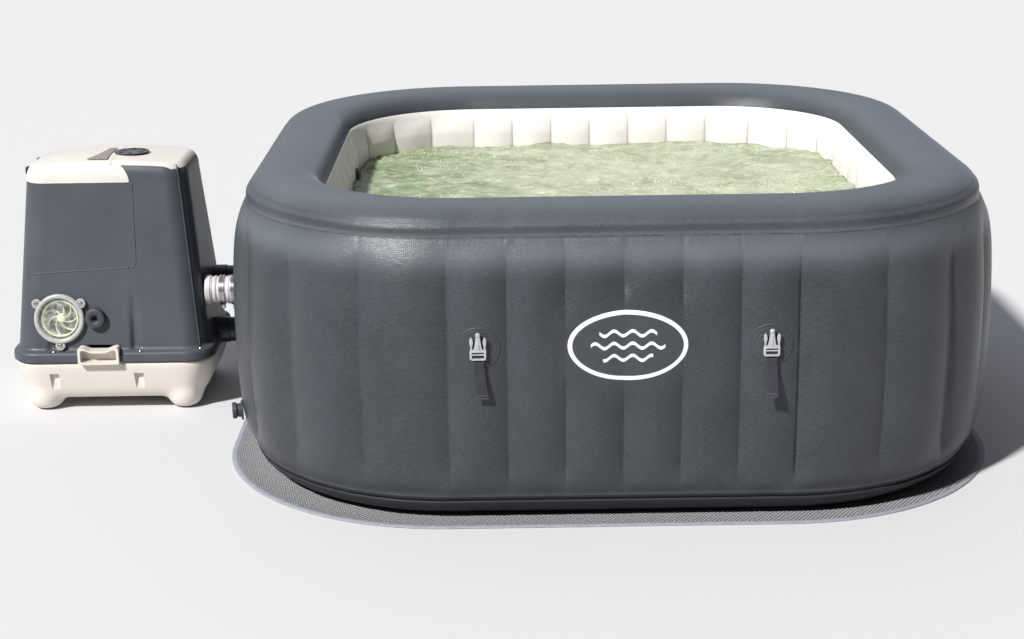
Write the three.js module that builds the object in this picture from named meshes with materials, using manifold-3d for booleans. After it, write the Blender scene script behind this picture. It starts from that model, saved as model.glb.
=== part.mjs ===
// Square inflatable hot tub with its water pump unit standing beside it.
// Millimetres, +Z up. The origin is the middle of the tub's footprint, on the ground.
// The tub's front wall faces -Y and the pump stands on its -X side.

import * as THREE from 'three';
import { mergeVertices } from 'three/addons/utils/BufferGeometryUtils.js';
import Module from 'manifold-3d';

const wasm = await Module();
wasm.setup();

// Driving dimensions of the tub
const TUB_HALF = 900;
const TUB_HEIGHT = 710;
const TUB_CORNER = 525;
const SKIN = 3;
const GAP = 0.3;
const MAT_THICKNESS = 3;
const MAT_HALF = 922.5;
const MAT_CORNER = 550;
const MAT_CENTRE = [-7.5, 27.5];
const PANEL_WIDTH = 125;
const PANELS_PER_SIDE = 6;
const PANELS_PER_CORNER = 4;
const LINER_HALF = 655;
const RIM_SEAM = [680, 668];
const BOTTOM_SEAM = [862, 52];

// Driving dimensions of the pump unit
const PUMP_CENTRE = [-1280, 120];
const LIP_BOTTOM = 141;
const LIP_TOP = 167;
const COVER_TOP = 652;
const LID_EDGE = 603;
const COVER_WALL = 4;
const FRONT_LEAN = 0.15;
const BACK_LEAN = 40 / 433;
const SIDE_LEAN = 40 / 433;
const COVER_HALF = 250;

// Fittings
const STRAP_X = 312;
const STRAP_Z = 413;
const PATCH_RADIUS = 47.5;
const CLIP_WIDTH = 36;
const CLIP_HEIGHT = 62;
const WEB_WIDTH = 25;
const TAIL_LENGTH = 84.5;
const TAIL_GAP = 3.5;
const BADGE_HALF = [128.5, 77.5];
const BUTTON_COUNT = 6;
const BUTTON_RADIUS = 5.5;
const BUTTON_CIRCLE = 31;
const PANEL_RADIUS = 45;

const hotTub = new THREE.Group();

// ---- shape helpers ----

// Corner-rounded rectangle as points that run counter-clockwise
function outline(halfX, front, back, radius, steps) {
  const middle = (front + back) / 2;
  const halfY = (back - front) / 2;
  const corners = [[1, 1, 0], [-1, 1, 1], [-1, -1, 2], [1, -1, 3]];
  const points = [];
  for (const [sx, sy, quarter] of corners) {
    for (let i = 0; i <= steps; i += 1) {
      const angle = (quarter + i / steps) * Math.PI / 2;
      const x = sx * (halfX - radius) + radius * Math.cos(angle);
      const y = middle + sy * (halfY - radius) + radius * Math.sin(angle);
      points.push([x, y]);
    }
  }
  return points;
}

// The tub's outline at a half width: its corners are arcs about the same four centres
function tubOutline(half, steps = 8) {
  const radius = TUB_CORNER - TUB_HALF + half;
  return outline(half, -half, half, Math.max(radius, 60), steps);
}

function bodyFrom(positions, index) {
  const geometry = new THREE.BufferGeometry();
  geometry.setAttribute('position', new THREE.Float32BufferAttribute(positions.flat(), 3));
  geometry.setIndex(index);
  return geometry;
}

function bridge(index, first, second, count) {
  for (let i = 0; i < count; i += 1) {
    const next = (i + 1) % count;
    index.push(first + i, first + next, second + next);
    index.push(first + i, second + next, second + i);
  }
}

// Solid through a stack of level outlines, each [z, points], closed by a flat cap at both ends
function stack(levels) {
  const count = levels[0][1].length;
  const positions = [];
  const index = [];
  for (const [z, points] of levels) {
    for (const [x, y] of points) positions.push([x, y, z]);
  }
  for (let level = 0; level + 1 < levels.length; level += 1) {
    bridge(index, level * count, (level + 1) * count, count);
  }
  const last = (levels.length - 1) * count;
  const middleOf = (points) => {
    const sum = points.reduce((total, p) => [total[0] + p[0], total[1] + p[1]], [0, 0]);
    return [sum[0] / count, sum[1] / count];
  };
  const bottom = positions.push([...middleOf(levels[0][1]), levels[0][0]]) - 1;
  const top = positions.push([...middleOf(levels.at(-1)[1]), levels.at(-1)[0]]) - 1;
  for (let i = 0; i < count; i += 1) {
    const next = (i + 1) % count;
    index.push(bottom, next, i);
    index.push(top, last + i, last + next);
  }
  return bodyFrom(positions, index);
}

// Ring around the tub from a closed section of [half width, z] points
function tubRing(section) {
  const positions = [];
  const index = [];
  const count = tubOutline(TUB_HALF).length;
  for (const [half, z] of section) {
    for (const [x, y] of tubOutline(half)) positions.push([x, y, z]);
  }
  for (let i = 0; i < section.length; i += 1) {
    bridge(index, i * count, ((i + 1) % section.length) * count, count);
  }
  return bodyFrom(positions, index);
}

// A line of [half width, z] points made into a closed strip, thickness on its left hand side
function strip(line, thickness) {
  const shifted = line.map(([x, z], i) => {
    const [ax, az] = line[Math.max(i - 1, 0)];
    const [bx, bz] = line[Math.min(i + 1, line.length - 1)];
    const length = Math.hypot(bx - ax, bz - az);
    return [x - (bz - az) / length * thickness, z + (bx - ax) / length * thickness];
  });
  return [...line, ...shifted.reverse()];
}

function toSolid(geometry) {
  const bare = geometry.clone();
  for (const name of ['normal', 'uv']) bare.deleteAttribute(name);
  const merged = mergeVertices(bare, 1e-4);
  const vertProperties = new Float32Array(merged.attributes.position.array);
  const triVerts = new Uint32Array(merged.index.array);
  return new wasm.Manifold(new wasm.Mesh({ numProp: 3, vertProperties, triVerts }));
}

function toGeometry(solid) {
  const mesh = solid.getMesh();
  const geometry = new THREE.BufferGeometry();
  geometry.setAttribute('position', new THREE.BufferAttribute(mesh.vertProperties, 3));
  geometry.setIndex(new THREE.BufferAttribute(mesh.triVerts, 1));
  return geometry;
}

function join(...geometries) {
  return toGeometry(geometries.map(toSolid).reduce((whole, piece) => whole.add(piece)));
}

function cut(geometry, ...tools) {
  return toGeometry(tools.map(toSolid).reduce((left, tool) => left.subtract(tool), toSolid(geometry)));
}

function common(geometry, other) {
  return toGeometry(toSolid(geometry).intersect(toSolid(other)));
}

function box(low, high) {
  const size = high.map((value, i) => value - low[i]);
  const geometry = new THREE.BoxGeometry(...size);
  return geometry.translate(...low.map((value, i) => value + size[i] / 2));
}

// Round body about +Z from [radius, z] points that start and end on the axis
function turned(profile, segments = 16) {
  const points = profile.map(([r, z]) => new THREE.Vector2(r, z));
  if (THREE.ShapeUtils.area(points) < 0) points.reverse();
  return new THREE.LatheGeometry(points, segments).rotateX(Math.PI / 2);
}

// Round body with a bore: the profile closes on itself
function turnedRing(profile, segments = 16) {
  return turned([...profile, profile[0]], segments);
}

function disc(radius, low, high, segments = 16) {
  return turned([[0, low], [radius, low], [radius, high], [0, high]], segments);
}

function ringBand(inner, outer, low, high, segments = 16) {
  return turnedRing([[inner, low], [outer, low], [outer, high], [inner, high]], segments);
}

function colour(hex, roughness, metalness = 0) {
  return new THREE.MeshStandardMaterial({ color: hex, roughness, metalness });
}

const looks = {
  skin: colour(0x5b6269, 0.55),
  bottom: colour(0x303236, 0.6),
  liner: colour(0xf5f0ec, 0.5),
  mat: colour(0x7d7a78, 0.9),
  white: colour(0xf4f0e6, 0.4),
  beige: colour(0xefe8e1, 0.45),
  cover: colour(0x5d626a, 0.45),
  taupe: colour(0x8d8580, 0.5),
  black: colour(0x1c1d1f, 0.4),
  dark: colour(0x3a3d42, 0.5),
  clear: colour(0xdfe3da, 0.15),
  clip: colour(0xb9bdc0, 0.45),
  web: colour(0x24262a, 0.85),
  steel: colour(0xb8bbbe, 0.3, 1),
  filter: colour(0xe9eef2, 0.9),
  board: colour(0x1f5a35, 0.6),
};

function add(name, geometry, material, parent = hotTub) {
  geometry.computeVertexNormals();
  const mesh = new THREE.Mesh(geometry, material);
  mesh.name = name;
  parent.add(mesh);
  return mesh;
}

// ---- tub ----

function addGroundMat() {
  const points = outline(MAT_HALF, -MAT_HALF, MAT_HALF, MAT_CORNER, 8);
  const mat = stack([[0, points], [MAT_THICKNESS, points]]);
  mat.translate(MAT_CENTRE[0], MAT_CENTRE[1], 0);
  add('ground_mat', mat, looks.mat);
}

// Welded pan that closes the air wall underneath and turns up to the lower seam
function addBottomSheet() {
  const floor = MAT_THICKNESS + GAP;
  const [half, seam] = BOTTOM_SEAM;
  const outside = [[795, floor], [838, 22], [half, seam - GAP]];
  const inside = [[half - SKIN, seam - GAP], [835, 24], [793, floor + SKIN]];
  const levels = [...outside, ...inside].map(([width, z]) => [z, tubOutline(width)]);
  add('bottom_sheet', stack(levels), looks.bottom);
}

// Outer wall and rolled rim, from the lower seam over the top to the rim seam
const OUTER_LINE = [
  BOTTOM_SEAM, [885, 110], [896, 190], [TUB_HALF, 330], [899, 450], [893, 560], [880, 630],
  [858, 674], [824, 700], [780, TUB_HEIGHT], [735, 706], [702, 692], RIM_SEAM,
];

function addOuterSkin() {
  add('outer_skin', tubRing(strip(OUTER_LINE, SKIN)), looks.skin);
}

const FLOOR_TOP = MAT_THICKNESS + GAP + SKIN + GAP + SKIN;

function addFloorSheet() {
  const points = tubOutline(LINER_HALF + 35);
  add('floor_sheet', stack([[FLOOR_TOP - SKIN, points], [FLOOR_TOP, points]]), looks.liner);
}

function addInnerLiner() {
  const [seamHalf, seamZ] = RIM_SEAM;
  const line = [
    [seamHalf - 1, seamZ - 1.5], [664, 640], [656, 560], [LINER_HALF, 300], [LINER_HALF, FLOOR_TOP + GAP],
  ];
  add('inner_liner', tubRing(strip(line, SKIN)), looks.liner);
}

// Places around the tub where the wall is tied in: distance along the wall as an angle and a point
function tieStations() {
  const flat = TUB_HALF - TUB_CORNER;
  const stations = [];
  for (let side = 0; side < 4; side += 1) {
    for (let i = 0; i <= PANELS_PER_SIDE; i += 1) {
      stations.push({ turn: side * 90, along: -flat + i * PANEL_WIDTH, corner: 0 });
    }
    for (let i = 1; i < PANELS_PER_CORNER; i += 1) {
      stations.push({ turn: side * 90, along: flat, corner: i * 90 / PANELS_PER_CORNER });
    }
  }
  return stations;
}

// Upright ties inside the air wall, welded to one carrier band, that keep the wall flat
function addTensionBaffles() {
  const inner = LINER_HALF + 9;
  const band = tubRing([[inner, 80], [inner + SKIN, 80], [inner + SKIN, 600], [inner, 600]]);
  const flat = TUB_HALF - TUB_CORNER;
  const ties = tieStations().map(({ turn, along, corner }) => {
    const tie = box([inner - flat + 1, -1, 80], [868 - flat, 1, 600]);
    tie.rotateZ(THREE.MathUtils.degToRad(corner));
    tie.translate(flat, along, 0);
    return tie.rotateZ(THREE.MathUtils.degToRad(turn));
  });
  add('tension_baffles', join(band, ...ties), looks.bottom);
}

function addBadge() {
  const shape = new THREE.Shape();
  shape.absellipse(0, 0, BADGE_HALF[0], BADGE_HALF[1], 0, Math.PI * 2);
  const badge = new THREE.ExtrudeGeometry(shape, { depth: 2, bevelEnabled: false, curveSegments: 14 });
  badge.rotateX(Math.PI / 2);
  badge.translate(7, -TUB_HALF - GAP, 416);
  add('badge_patch', badge, looks.white);
}

// ---- cover straps: round patch, side-release clip and webbing tail ----

function clipShape() {
  const half = CLIP_WIDTH / 2;
  const shape = new THREE.Shape();
  shape.moveTo(-half, 6);
  shape.lineTo(-half + 4, 0);
  shape.lineTo(half - 4, 0);
  shape.lineTo(half, 6);
  shape.lineTo(half, 42);
  shape.lineTo(half - 6, CLIP_HEIGHT);
  shape.lineTo(half - 11, CLIP_HEIGHT);
  shape.lineTo(half - 11, 36);
  shape.lineTo(-half + 11, 36);
  shape.lineTo(-half + 11, CLIP_HEIGHT);
  shape.lineTo(-half + 6, CLIP_HEIGHT);
  shape.lineTo(-half, 42);
  return shape;
}

// A strap group faces -Y before it turns to its side of the tub
function addStrap(label, x, turn) {
  const strap = new THREE.Group();
  strap.position.set(0, 0, STRAP_Z);
  strap.rotation.z = turn;
  const wall = -TUB_HALF - GAP;
  const patch = disc(PATCH_RADIUS, 0, 2).rotateX(Math.PI / 2).translate(x, wall, 0);
  add(`${label}_patch`, patch, looks.skin, strap);
  const slots = [6, 17].map((low) => box([-13, low, -1], [13, low + 6, 8]));
  const clip = cut(new THREE.ExtrudeGeometry(clipShape(), { depth: 7, bevelEnabled: false }), ...slots);
  clip.rotateX(Math.PI / 2).translate(x, wall - 4, -CLIP_HEIGHT / 2 + 8);
  add(`${label}_clip`, clip, looks.clip, strap);
  const tailTop = -CLIP_HEIGHT / 2 + 8 - TAIL_GAP;
  const tail = box([x - WEB_WIDTH / 2, wall - 9, tailTop - TAIL_LENGTH], [x + WEB_WIDTH / 2, wall - 6.6, tailTop]);
  add(`${label}_tail`, tail, looks.web, strap);
  hotTub.add(strap);
}

// ---- valves on the tub ----

// Fitting group whose +Z is the outward direction of the wall it sits on
function wallGroup(x, y, z, heading) {
  const group = new THREE.Group();
  group.position.set(x, y, z);
  group.rotation.set(0, Math.PI / 2, 0);
  const turn = new THREE.Group();
  turn.rotation.z = heading;
  turn.position.copy(group.position);
  group.position.set(0, 0, 0);
  turn.add(group);
  hotTub.add(turn);
  return group;
}

function addInflationValve() {
  const group = wallGroup(62.5, TUB_HALF + GAP, 500, Math.PI / 2);
  const body = turnedRing([[12, 0], [34, 0], [34, 3], [22, 4], [20, 16], [12, 16]]);
  add('inflation_valve', body, looks.black, group);
  const grip = turned([[0, 16 + GAP], [24, 16 + GAP], [25, 20], [24, 27], [10, 29], [0, 29]]);
  add('inflation_cap', grip, looks.black, group);
}

function addDrainValve() {
  const angle = THREE.MathUtils.degToRad(191.5);
  const flat = TUB_HALF - TUB_CORNER;
  const reach = TUB_CORNER - 7;
  const group = wallGroup(-flat + reach * Math.cos(angle), -flat + reach * Math.sin(angle), 140, angle);
  const body = turnedRing([[9, 0], [24, 0], [24, 4], [17, 5], [16, 15], [9, 15]]);
  add('drain_valve', body, looks.dark, group);
  const cap = turned([[0, 15 + GAP], [19, 15 + GAP], [20, 18], [19, 25], [0, 26]]);
  add('drain_cap', cap, looks.black, group);
}

function addJetPort() {
  const group = wallGroup(-LINER_HALF + GAP, 200, 556, 0);
  const port = turnedRing([[9, 0], [29, 0], [28, 4], [20, 8], [13, 8], [9, 5]]);
  add('jet_port', port, looks.black, group);
}

// ---- pump unit ----

const pump = new THREE.Group();
pump.position.set(PUMP_CENTRE[0], PUMP_CENTRE[1], 0);
hotTub.add(pump);

function level(z, half, front, back, radius) {
  return [z, outline(half, front, back, radius, 5)];
}

function faceY(z) {
  return -190 + (z - LIP_TOP) * FRONT_LEAN;
}

// Where a line of a given radius can start clear of the sloping side wall
function sideClear({ z, radius }) {
  return COVER_HALF - Math.max(z - radius - LIP_TOP, 0) * SIDE_LEAN + GAP;
}

// The housing's outside, shrunk by an even inset
function coverBlock(inset, low, top) {
  const shoulder = top - 52;
  return stack([
    level(low, COVER_HALF - inset, -190 + inset, 190 - inset, 62 - inset),
    level(LIP_TOP, COVER_HALF - inset, -190 + inset, 190 - inset, 62 - inset),
    level(shoulder, 210 - inset, -125 + inset, 150 - inset, 58 - inset),
    level(top - 22, 207 - inset, -122 + inset, 147 - inset, 56 - inset),
    level(top - 7, 199 - inset, -113 + inset, 139 - inset, 50 - inset),
    level(top, 184 - inset, -98 + inset, 124 - inset, 38 - inset),
  ]);
}

const coverShell = cut(coverBlock(0, LIP_BOTTOM, COVER_TOP), coverBlock(COVER_WALL, 100, COVER_TOP - COVER_WALL));
const LID_SEAM_X = 18;
const WRAP_END_X = 65;
const WRAP_BACK_Y = -114;
const CAP_EDGE = 628;
const FAR = 400;

// Space of the left lid: everything above its edge left of the seam, and the front wrap
function lidSpace(gap) {
  return join(
    box([-FAR, -FAR, LID_EDGE - gap], [LID_SEAM_X + gap, FAR, FAR * 2]),
    box([0, -FAR, LID_EDGE - gap], [WRAP_END_X + gap, WRAP_BACK_Y + gap, FAR * 2]),
  );
}

function capSpace(gap) {
  return box([LID_SEAM_X + GAP - gap, WRAP_BACK_Y + GAP - gap, CAP_EDGE - gap], [FAR, FAR, FAR * 2]);
}

// Fittings along the right wall, in the pump's own frame
const HOSE = { y: -90, z: 300, radius: 38 };
const UPPER_PIPE = { y: 30, z: 301, radius: 26 };
const LOWER_PIPE = { y: -20, z: 171, radius: 26 };
const STRAINER = { x: -128, z: 252, radius: 65, bore: 50 };
const KNOB = { x: -35, z: 252, radius: 26 };
const VENT = { low: [40, 150, 200], high: [180, 220, 290] };
const HANDLE = { low: [-81, -219, 137], high: [25, -186, 182] };

function alongX(geometry, y, z) {
  return geometry.rotateY(Math.PI / 2).translate(0, y, z);
}

// Moves a +Z facing fitting onto the leaning front face
function onFront(geometry, x, z) {
  return geometry.rotateX(Math.PI / 2 - Math.atan(FRONT_LEAN)).translate(x, faceY(z), z);
}

function grown(low, high, amount) {
  return box(low.map((value) => value - amount), high.map((value) => value + amount));
}

function addBaseTray() {
  const outside = stack([
    level(32, 224, -170, 170, 60), level(60, 242, -188, 188, 64),
    level(110, 257, -201, 201, 68), level(LIP_BOTTOM - GAP, 262, -206, 206, 70),
  ]);
  const inside = stack([
    level(36, 218, -164, 164, 56), level(60, 238, -184, 184, 60),
    level(110, 253, -197, 197, 64), level(LIP_BOTTOM + 5, 258, -202, 202, 66),
  ]);
  const foot = [[0, 0], [30, 0], [44, 8], [52, 26], [50, 50], [34, 72], [0, 72]];
  const feet = [[-1, -1], [1, -1], [1, 1], [-1, 1]].map(([sx, sy]) => (
    turned(foot, 16).translate(sx * 190, sy * 148, 0)
  ));
  const shell = cut(join(outside, ...feet), inside);
  const slots = [-150, 70];
  const bosses = slots.map((x) => common(box([x - 18, -FAR, 50], [x + 18, -176, 114]), outside));
  const pockets = slots.map((x) => box([x - 13, -FAR, 58], [x + 13, -186, 106]));
  const tray = cut(join(shell, ...bosses), ...pockets, grown(HANDLE.low, HANDLE.high, GAP));
  add('base_tray', tray, looks.beige, pump);
}

function addPumpShells() {
  const lip = stack([
    level(LIP_BOTTOM, 264, -208, 208, 72), level(LIP_TOP - 6, 264, -208, 208, 72),
    level(LIP_TOP, 260, -204, 204, 68),
  ]);
  const inner = coverBlock(COVER_WALL, 100, COVER_TOP - COVER_WALL);
  const whole = cut(join(coverBlock(0, LIP_BOTTOM, COVER_TOP), lip), inner);
  const cover = cut(
    whole, lidSpace(GAP), capSpace(GAP),
    grown(HANDLE.low, HANDLE.high, GAP),
    onFront(disc(STRAINER.bore + 4, -20, 20), STRAINER.x, STRAINER.z),
    onFront(disc(9, -20, 20, 12), KNOB.x, KNOB.z),
    alongX(disc(LOWER_PIPE.radius + 1, sideClear(LOWER_PIPE), 300), LOWER_PIPE.y, LOWER_PIPE.z),
    box(VENT.low, VENT.high),
  );
  add('pump_cover', cover, looks.cover, pump);
  add('filter_lid', common(coverShell, lidSpace(0)), looks.white, pump);
  const cap = cut(common(coverShell, capSpace(0)), disc(40, 600, 700).translate(PANEL_PLACE[0], PANEL_PLACE[1], 0));
  add('top_cap', cap, looks.white, pump);
}

function addLidTrim() {
  const insert = new THREE.Shape();
  insert.moveTo(-48, -88);
  insert.lineTo(6, -92);
  insert.quadraticCurveTo(0, -20, 3, 60);
  insert.lineTo(-16, 60);
  insert.quadraticCurveTo(-26, -30, -48, -88);
  const plate = new THREE.ExtrudeGeometry(insert, { depth: 1.6, bevelEnabled: false, curveSegments: 5 });
  plate.translate(0, 0, COVER_TOP + GAP);
  add('grip_insert', plate, looks.taupe, pump);
  for (const [name, y] of [['lid_hinge_front', -40], ['lid_hinge_rear', 80]]) {
    add(name, box([-217, y - 13, LID_EDGE + 4], [-210.6, y + 13, LID_EDGE + 38]), looks.black, pump);
  }
}


// Round control panel on the right-hand cap, with a ring of press buttons held in from below
const PANEL_PLACE = [52, 3];
const PANEL_PLATE = 3.4;

function addControls() {
  const group = new THREE.Group();
  group.position.set(PANEL_PLACE[0], PANEL_PLACE[1], COVER_TOP + GAP);
  const places = Array.from({ length: BUTTON_COUNT }, (_, i) => {
    const angle = (i + 0.5) * Math.PI * 2 / BUTTON_COUNT;
    return [BUTTON_CIRCLE * Math.cos(angle), BUTTON_CIRCLE * Math.sin(angle)];
  });
  const bores = places.map(([x, y]) => disc(BUTTON_RADIUS + 0.4, -1, PANEL_PLATE + 1, 12).translate(x, y, 0));
  add('control_panel', cut(disc(PANEL_RADIUS, 0, PANEL_PLATE, 32), ...bores), looks.black, group);
  const profile = [
    [0, -2.2], [BUTTON_RADIUS + 1.5, -2.2], [BUTTON_RADIUS + 1.5, -0.4],
    [BUTTON_RADIUS, -0.4], [BUTTON_RADIUS, PANEL_PLATE + 1.2], [0, PANEL_PLATE + 1.5],
  ];
  places.forEach(([x, y], i) => {
    add(`button_${i + 1}`, turned(profile, 12).translate(x, y, 0), looks.dark, group);
  });
  pump.add(group);
}

// Clear-lidded strainer bowl in the front face, with the circulation impeller at its back
function addStrainer() {
  const { x, z, radius, bore } = STRAINER;
  const lugs = [-90, 35, 145].map((degrees) => {
    const angle = THREE.MathUtils.degToRad(degrees);
    return [(radius + 6) * Math.cos(angle), (radius + 6) * Math.sin(angle)];
  });
  const ring = ringBand(bore + 2, radius, 0.8, 13);
  const ears = lugs.map(([u, v]) => disc(13, 0.8, 11, 16).translate(u, v, 0));
  const window = disc(bore + 3, 4, 7);
  const bores = lugs.map(([u, v]) => disc(4, -5, 30, 10).translate(u, v, 0));
  const lid = cut(join(ring, window, ...ears), ...bores);
  add('strainer_window', onFront(lid, x, z), looks.clear, pump);
  lugs.forEach(([u, v], i) => {
    const screw = turned([[0, 0.8], [3.6, 0.8], [3.6, 11.4], [5.6, 11.4], [5.2, 14], [0, 14.6]], 12).translate(u, v, 0);
    add(`strainer_screw_${i + 1}`, onFront(screw, x, z), looks.steel, pump);
  });
  const bowl = turnedRing([[bore - 3, 3], [bore, 3], [bore, -88], [12, -88], [12, -85], [bore - 3, -85]]);
  add('strainer_bowl', onFront(bowl, x, z), looks.beige, pump);
  const hub = disc(9, -80, -56, 14);
  const vanes = Array.from({ length: 6 }, (_, i) => (
    box([6, -1.5, -78], [38, 1.5, -62]).rotateZ(i * Math.PI / 3)
  ));
  const shaft = disc(6, -104, -70, 10);
  add('impeller', onFront(join(hub, shaft, disc(39, -80, -77), ...vanes), x, z), looks.dark, pump);
  const motor = ringBand(8, 44, -210, -96);
  add('pump_motor', onFront(motor, x, z), looks.dark, pump);
  const knob = turnedRing([[6, 0.8], [22, 0.8], [22, 4], [KNOB.radius, 5], [KNOB.radius, 14], [22, 17], [6, 17]]);
  add('drain_knob', onFront(knob, KNOB.x, KNOB.z), looks.dark, pump);
}

// Moulded grip pocket that bridges the seam between cover and base
function addHandle() {
  const { low, high } = HANDLE;
  const middle = (low[0] + high[0]) / 2;
  const pocket = box([low[0] + 8, low[1] - 1, low[2] + 18], [high[0] - 8, high[1] - 6, high[2] - 8]);
  const dip = turned([[0, low[1] - 1], [26, low[1] - 1], [26, high[1] - 6], [0, high[1] - 6]], 20)
    .rotateX(-Math.PI / 2).scale(1, 1, 0.5).translate(middle, 0, high[2] - 2);
  add('carry_handle', cut(box(low, high), pocket, dip), looks.beige, pump);
}

function addInnards() {
  const well = [-105, 10];
  const cup = turnedRing([[30, 372], [63, 372], [63, 594], [60, 594], [60, 376], [30, 376]]);
  add('filter_housing', cup.translate(well[0], well[1], 0), looks.beige, pump);
  const cartridge = ringBand(22, 53, 378, 540, 32);
  add('filter_cartridge', cartridge.translate(well[0], well[1], 0), looks.filter, pump);
  const heater = disc(28, -110, 110).rotateX(Math.PI / 2).translate(150, 30, 96);
  add('heater_tube', heater, looks.steel, pump);
  const blower = [95, 20];
  const volute = turnedRing([
    [16, 340], [72, 340], [72, 414], [34, 414], [34, 420], [30, 420], [30, 410], [68, 410], [68, 344], [16, 344],
  ]);
  add('blower_case', volute.translate(blower[0], blower[1], 0), looks.dark, pump);
  const blades = Array.from({ length: 8 }, (_, i) => (
    box([8, -1.2, 350], [56, 1.2, 392]).rotateZ(i * Math.PI / 4)
  ));
  const fan = join(disc(12, 322, 396, 14), disc(57, 350, 354), ...blades);
  add('blower_fan', fan.translate(blower[0], blower[1], 0), looks.black, pump);
  add('circuit_board', box([18, -40, 590], [126, 46, 592.4]), looks.board, pump);
}

function addRearFittings() {
  const { low, high } = VENT;
  const half = (high[2] - low[2]) / 2 - 0.6;
  const bars = Array.from({ length: 6 }, (_, i) => {
    const at = (i - 2.5) * 13;
    return box([low[0] + 10, -10, at - 3], [high[0] - 10, 10, at + 3]);
  });
  const grille = cut(box([low[0] + GAP, -2, -half], [high[0] - GAP, 2, half]), ...bars);
  const middle = low[2] + half + 0.6;
  grille.rotateX(Math.atan(BACK_LEAN)).translate(0, 190 - (middle - LIP_TOP) * BACK_LEAN - 2, middle);
  add('rear_grille', grille, looks.dark, pump);
  const gland = turnedRing([[5, 0.5], [15, 0.5], [15, 6], [9, 10], [8, 22], [5, 22]], 16)
    .rotateX(-Math.PI / 2).translate(-150, 188, 200);
  add('cable_gland', gland, looks.black, pump);
}

// ---- water and air lines between the pump unit and the tub ----

const TUB_WALL_X = -TUB_HALF - PUMP_CENTRE[0];

function addHoses() {
  const start = sideClear(HOSE);
  const length = TUB_WALL_X - start - 2;
  const ribs = 2;
  const profile = [[30, 0], [HOSE.radius, 0]];
  for (let i = 0; i < ribs; i += 1) {
    const at = 8 + i * 13;
    profile.push([HOSE.radius, at], [HOSE.radius - 4, at + 3], [HOSE.radius - 4, at + 8], [HOSE.radius, at + 11]);
  }
  profile.push([HOSE.radius - 2, 35], [HOSE.radius - 2, length], [30, length]);
  add('air_hose', alongX(turnedRing(profile), HOSE.y, HOSE.z).translate(start, 0, 0), looks.white, pump);
  [['hose_clamp_pump', 36], ['hose_clamp_tub', 66]].forEach(([name, at]) => {
    const band = ringBand(HOSE.radius - 2 + GAP, HOSE.radius, 0, 14);
    const screw = disc(5, -13, 13, 10).rotateX(Math.PI / 2).translate(HOSE.radius + 3, 0, 7);
    add(name, alongX(join(band, screw), HOSE.y, HOSE.z).translate(start + at, 0, 0), looks.steel, pump);
  });
  [['water_pipe_upper', UPPER_PIPE], ['water_pipe_lower', LOWER_PIPE]].forEach(([name, line]) => {
    const { y, z, radius } = line;
    const from = sideClear(line);
    const end = TUB_WALL_X - from - 2;
    const pipe = turnedRing([
      [radius - 4, 0], [radius, 0], [radius, end - 6], [radius + 9, end - 6], [radius + 9, end], [radius - 4, end],
    ]);
    add(name, alongX(pipe, y, z).translate(from, 0, 0), looks.black, pump);
  });
}

addGroundMat();
addBottomSheet();
addOuterSkin();
addFloorSheet();
addInnerLiner();
addTensionBaffles();
addBadge();
addStrap('front_left', -STRAP_X, 0);
addStrap('front_right', STRAP_X, 0);
addStrap('back_left', STRAP_X, Math.PI);
addStrap('back_right', -STRAP_X, Math.PI);
addInflationValve();
addDrainValve();
addJetPort();
addBaseTray();
addPumpShells();
addLidTrim();
addControls();
addStrainer();
addHandle();
addInnards();
addRearFittings();
addHoses();

export default hotTub;
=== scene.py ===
import math

import bpy
import bmesh
import numpy as np
from mathutils import Matrix, Vector, noise


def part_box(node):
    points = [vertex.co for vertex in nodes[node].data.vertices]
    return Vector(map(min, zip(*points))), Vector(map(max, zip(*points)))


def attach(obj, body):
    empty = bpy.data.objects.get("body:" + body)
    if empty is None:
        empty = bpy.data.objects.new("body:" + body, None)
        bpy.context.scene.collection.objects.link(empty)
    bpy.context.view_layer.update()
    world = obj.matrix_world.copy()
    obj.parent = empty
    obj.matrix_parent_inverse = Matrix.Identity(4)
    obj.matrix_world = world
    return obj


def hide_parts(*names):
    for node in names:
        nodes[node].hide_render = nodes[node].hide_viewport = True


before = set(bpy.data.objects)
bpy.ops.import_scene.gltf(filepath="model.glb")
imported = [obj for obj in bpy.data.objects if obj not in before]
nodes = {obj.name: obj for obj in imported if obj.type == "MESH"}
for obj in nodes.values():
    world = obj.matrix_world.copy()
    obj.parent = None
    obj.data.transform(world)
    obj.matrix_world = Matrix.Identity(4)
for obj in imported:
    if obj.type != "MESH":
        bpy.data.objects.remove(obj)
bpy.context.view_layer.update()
scene = bpy.context.scene


# ---- camera, light and floor ----
# The tub stands on a pale studio floor, seen from the front and a little above,
# with one soft sun in front on the left and a pale backdrop behind and overhead.

camera = bpy.data.objects.new("camera", bpy.data.cameras.new("camera"))
scene.collection.objects.link(camera)
camera.data.sensor_width = 36.0
camera.data.lens = 63.57
camera.location = (-0.252, -4.569, 1.550)
camera.rotation_euler = (math.radians(73.71), math.radians(0.74), math.radians(-0.42))
scene.camera = camera

sun = bpy.data.objects.new("sun", bpy.data.lights.new("sun", "SUN"))
scene.collection.objects.link(sun)
sun.data.energy = 5.6
sun.data.angle = math.radians(4)
sun.data.color = (1.0, 0.975, 0.95)
sun.rotation_euler = Vector((-0.95, -1.1, 1.4)).to_track_quat("Z", "Y").to_euler()

scene.view_settings.view_transform = "Standard"


def add_node(tree, kind, inputs=(), **settings):
    """Adds a shader or geometry node; inputs maps a socket to a value or to the output that feeds it."""
    made = tree.nodes.new(kind)
    for name, value in settings.items():
        setattr(made, name, value)
    for name, value in dict(inputs).items():
        if isinstance(value, bpy.types.NodeSocket):
            tree.links.new(value, made.inputs[name])
        else:
            made.inputs[name].default_value = value
    return made


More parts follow.
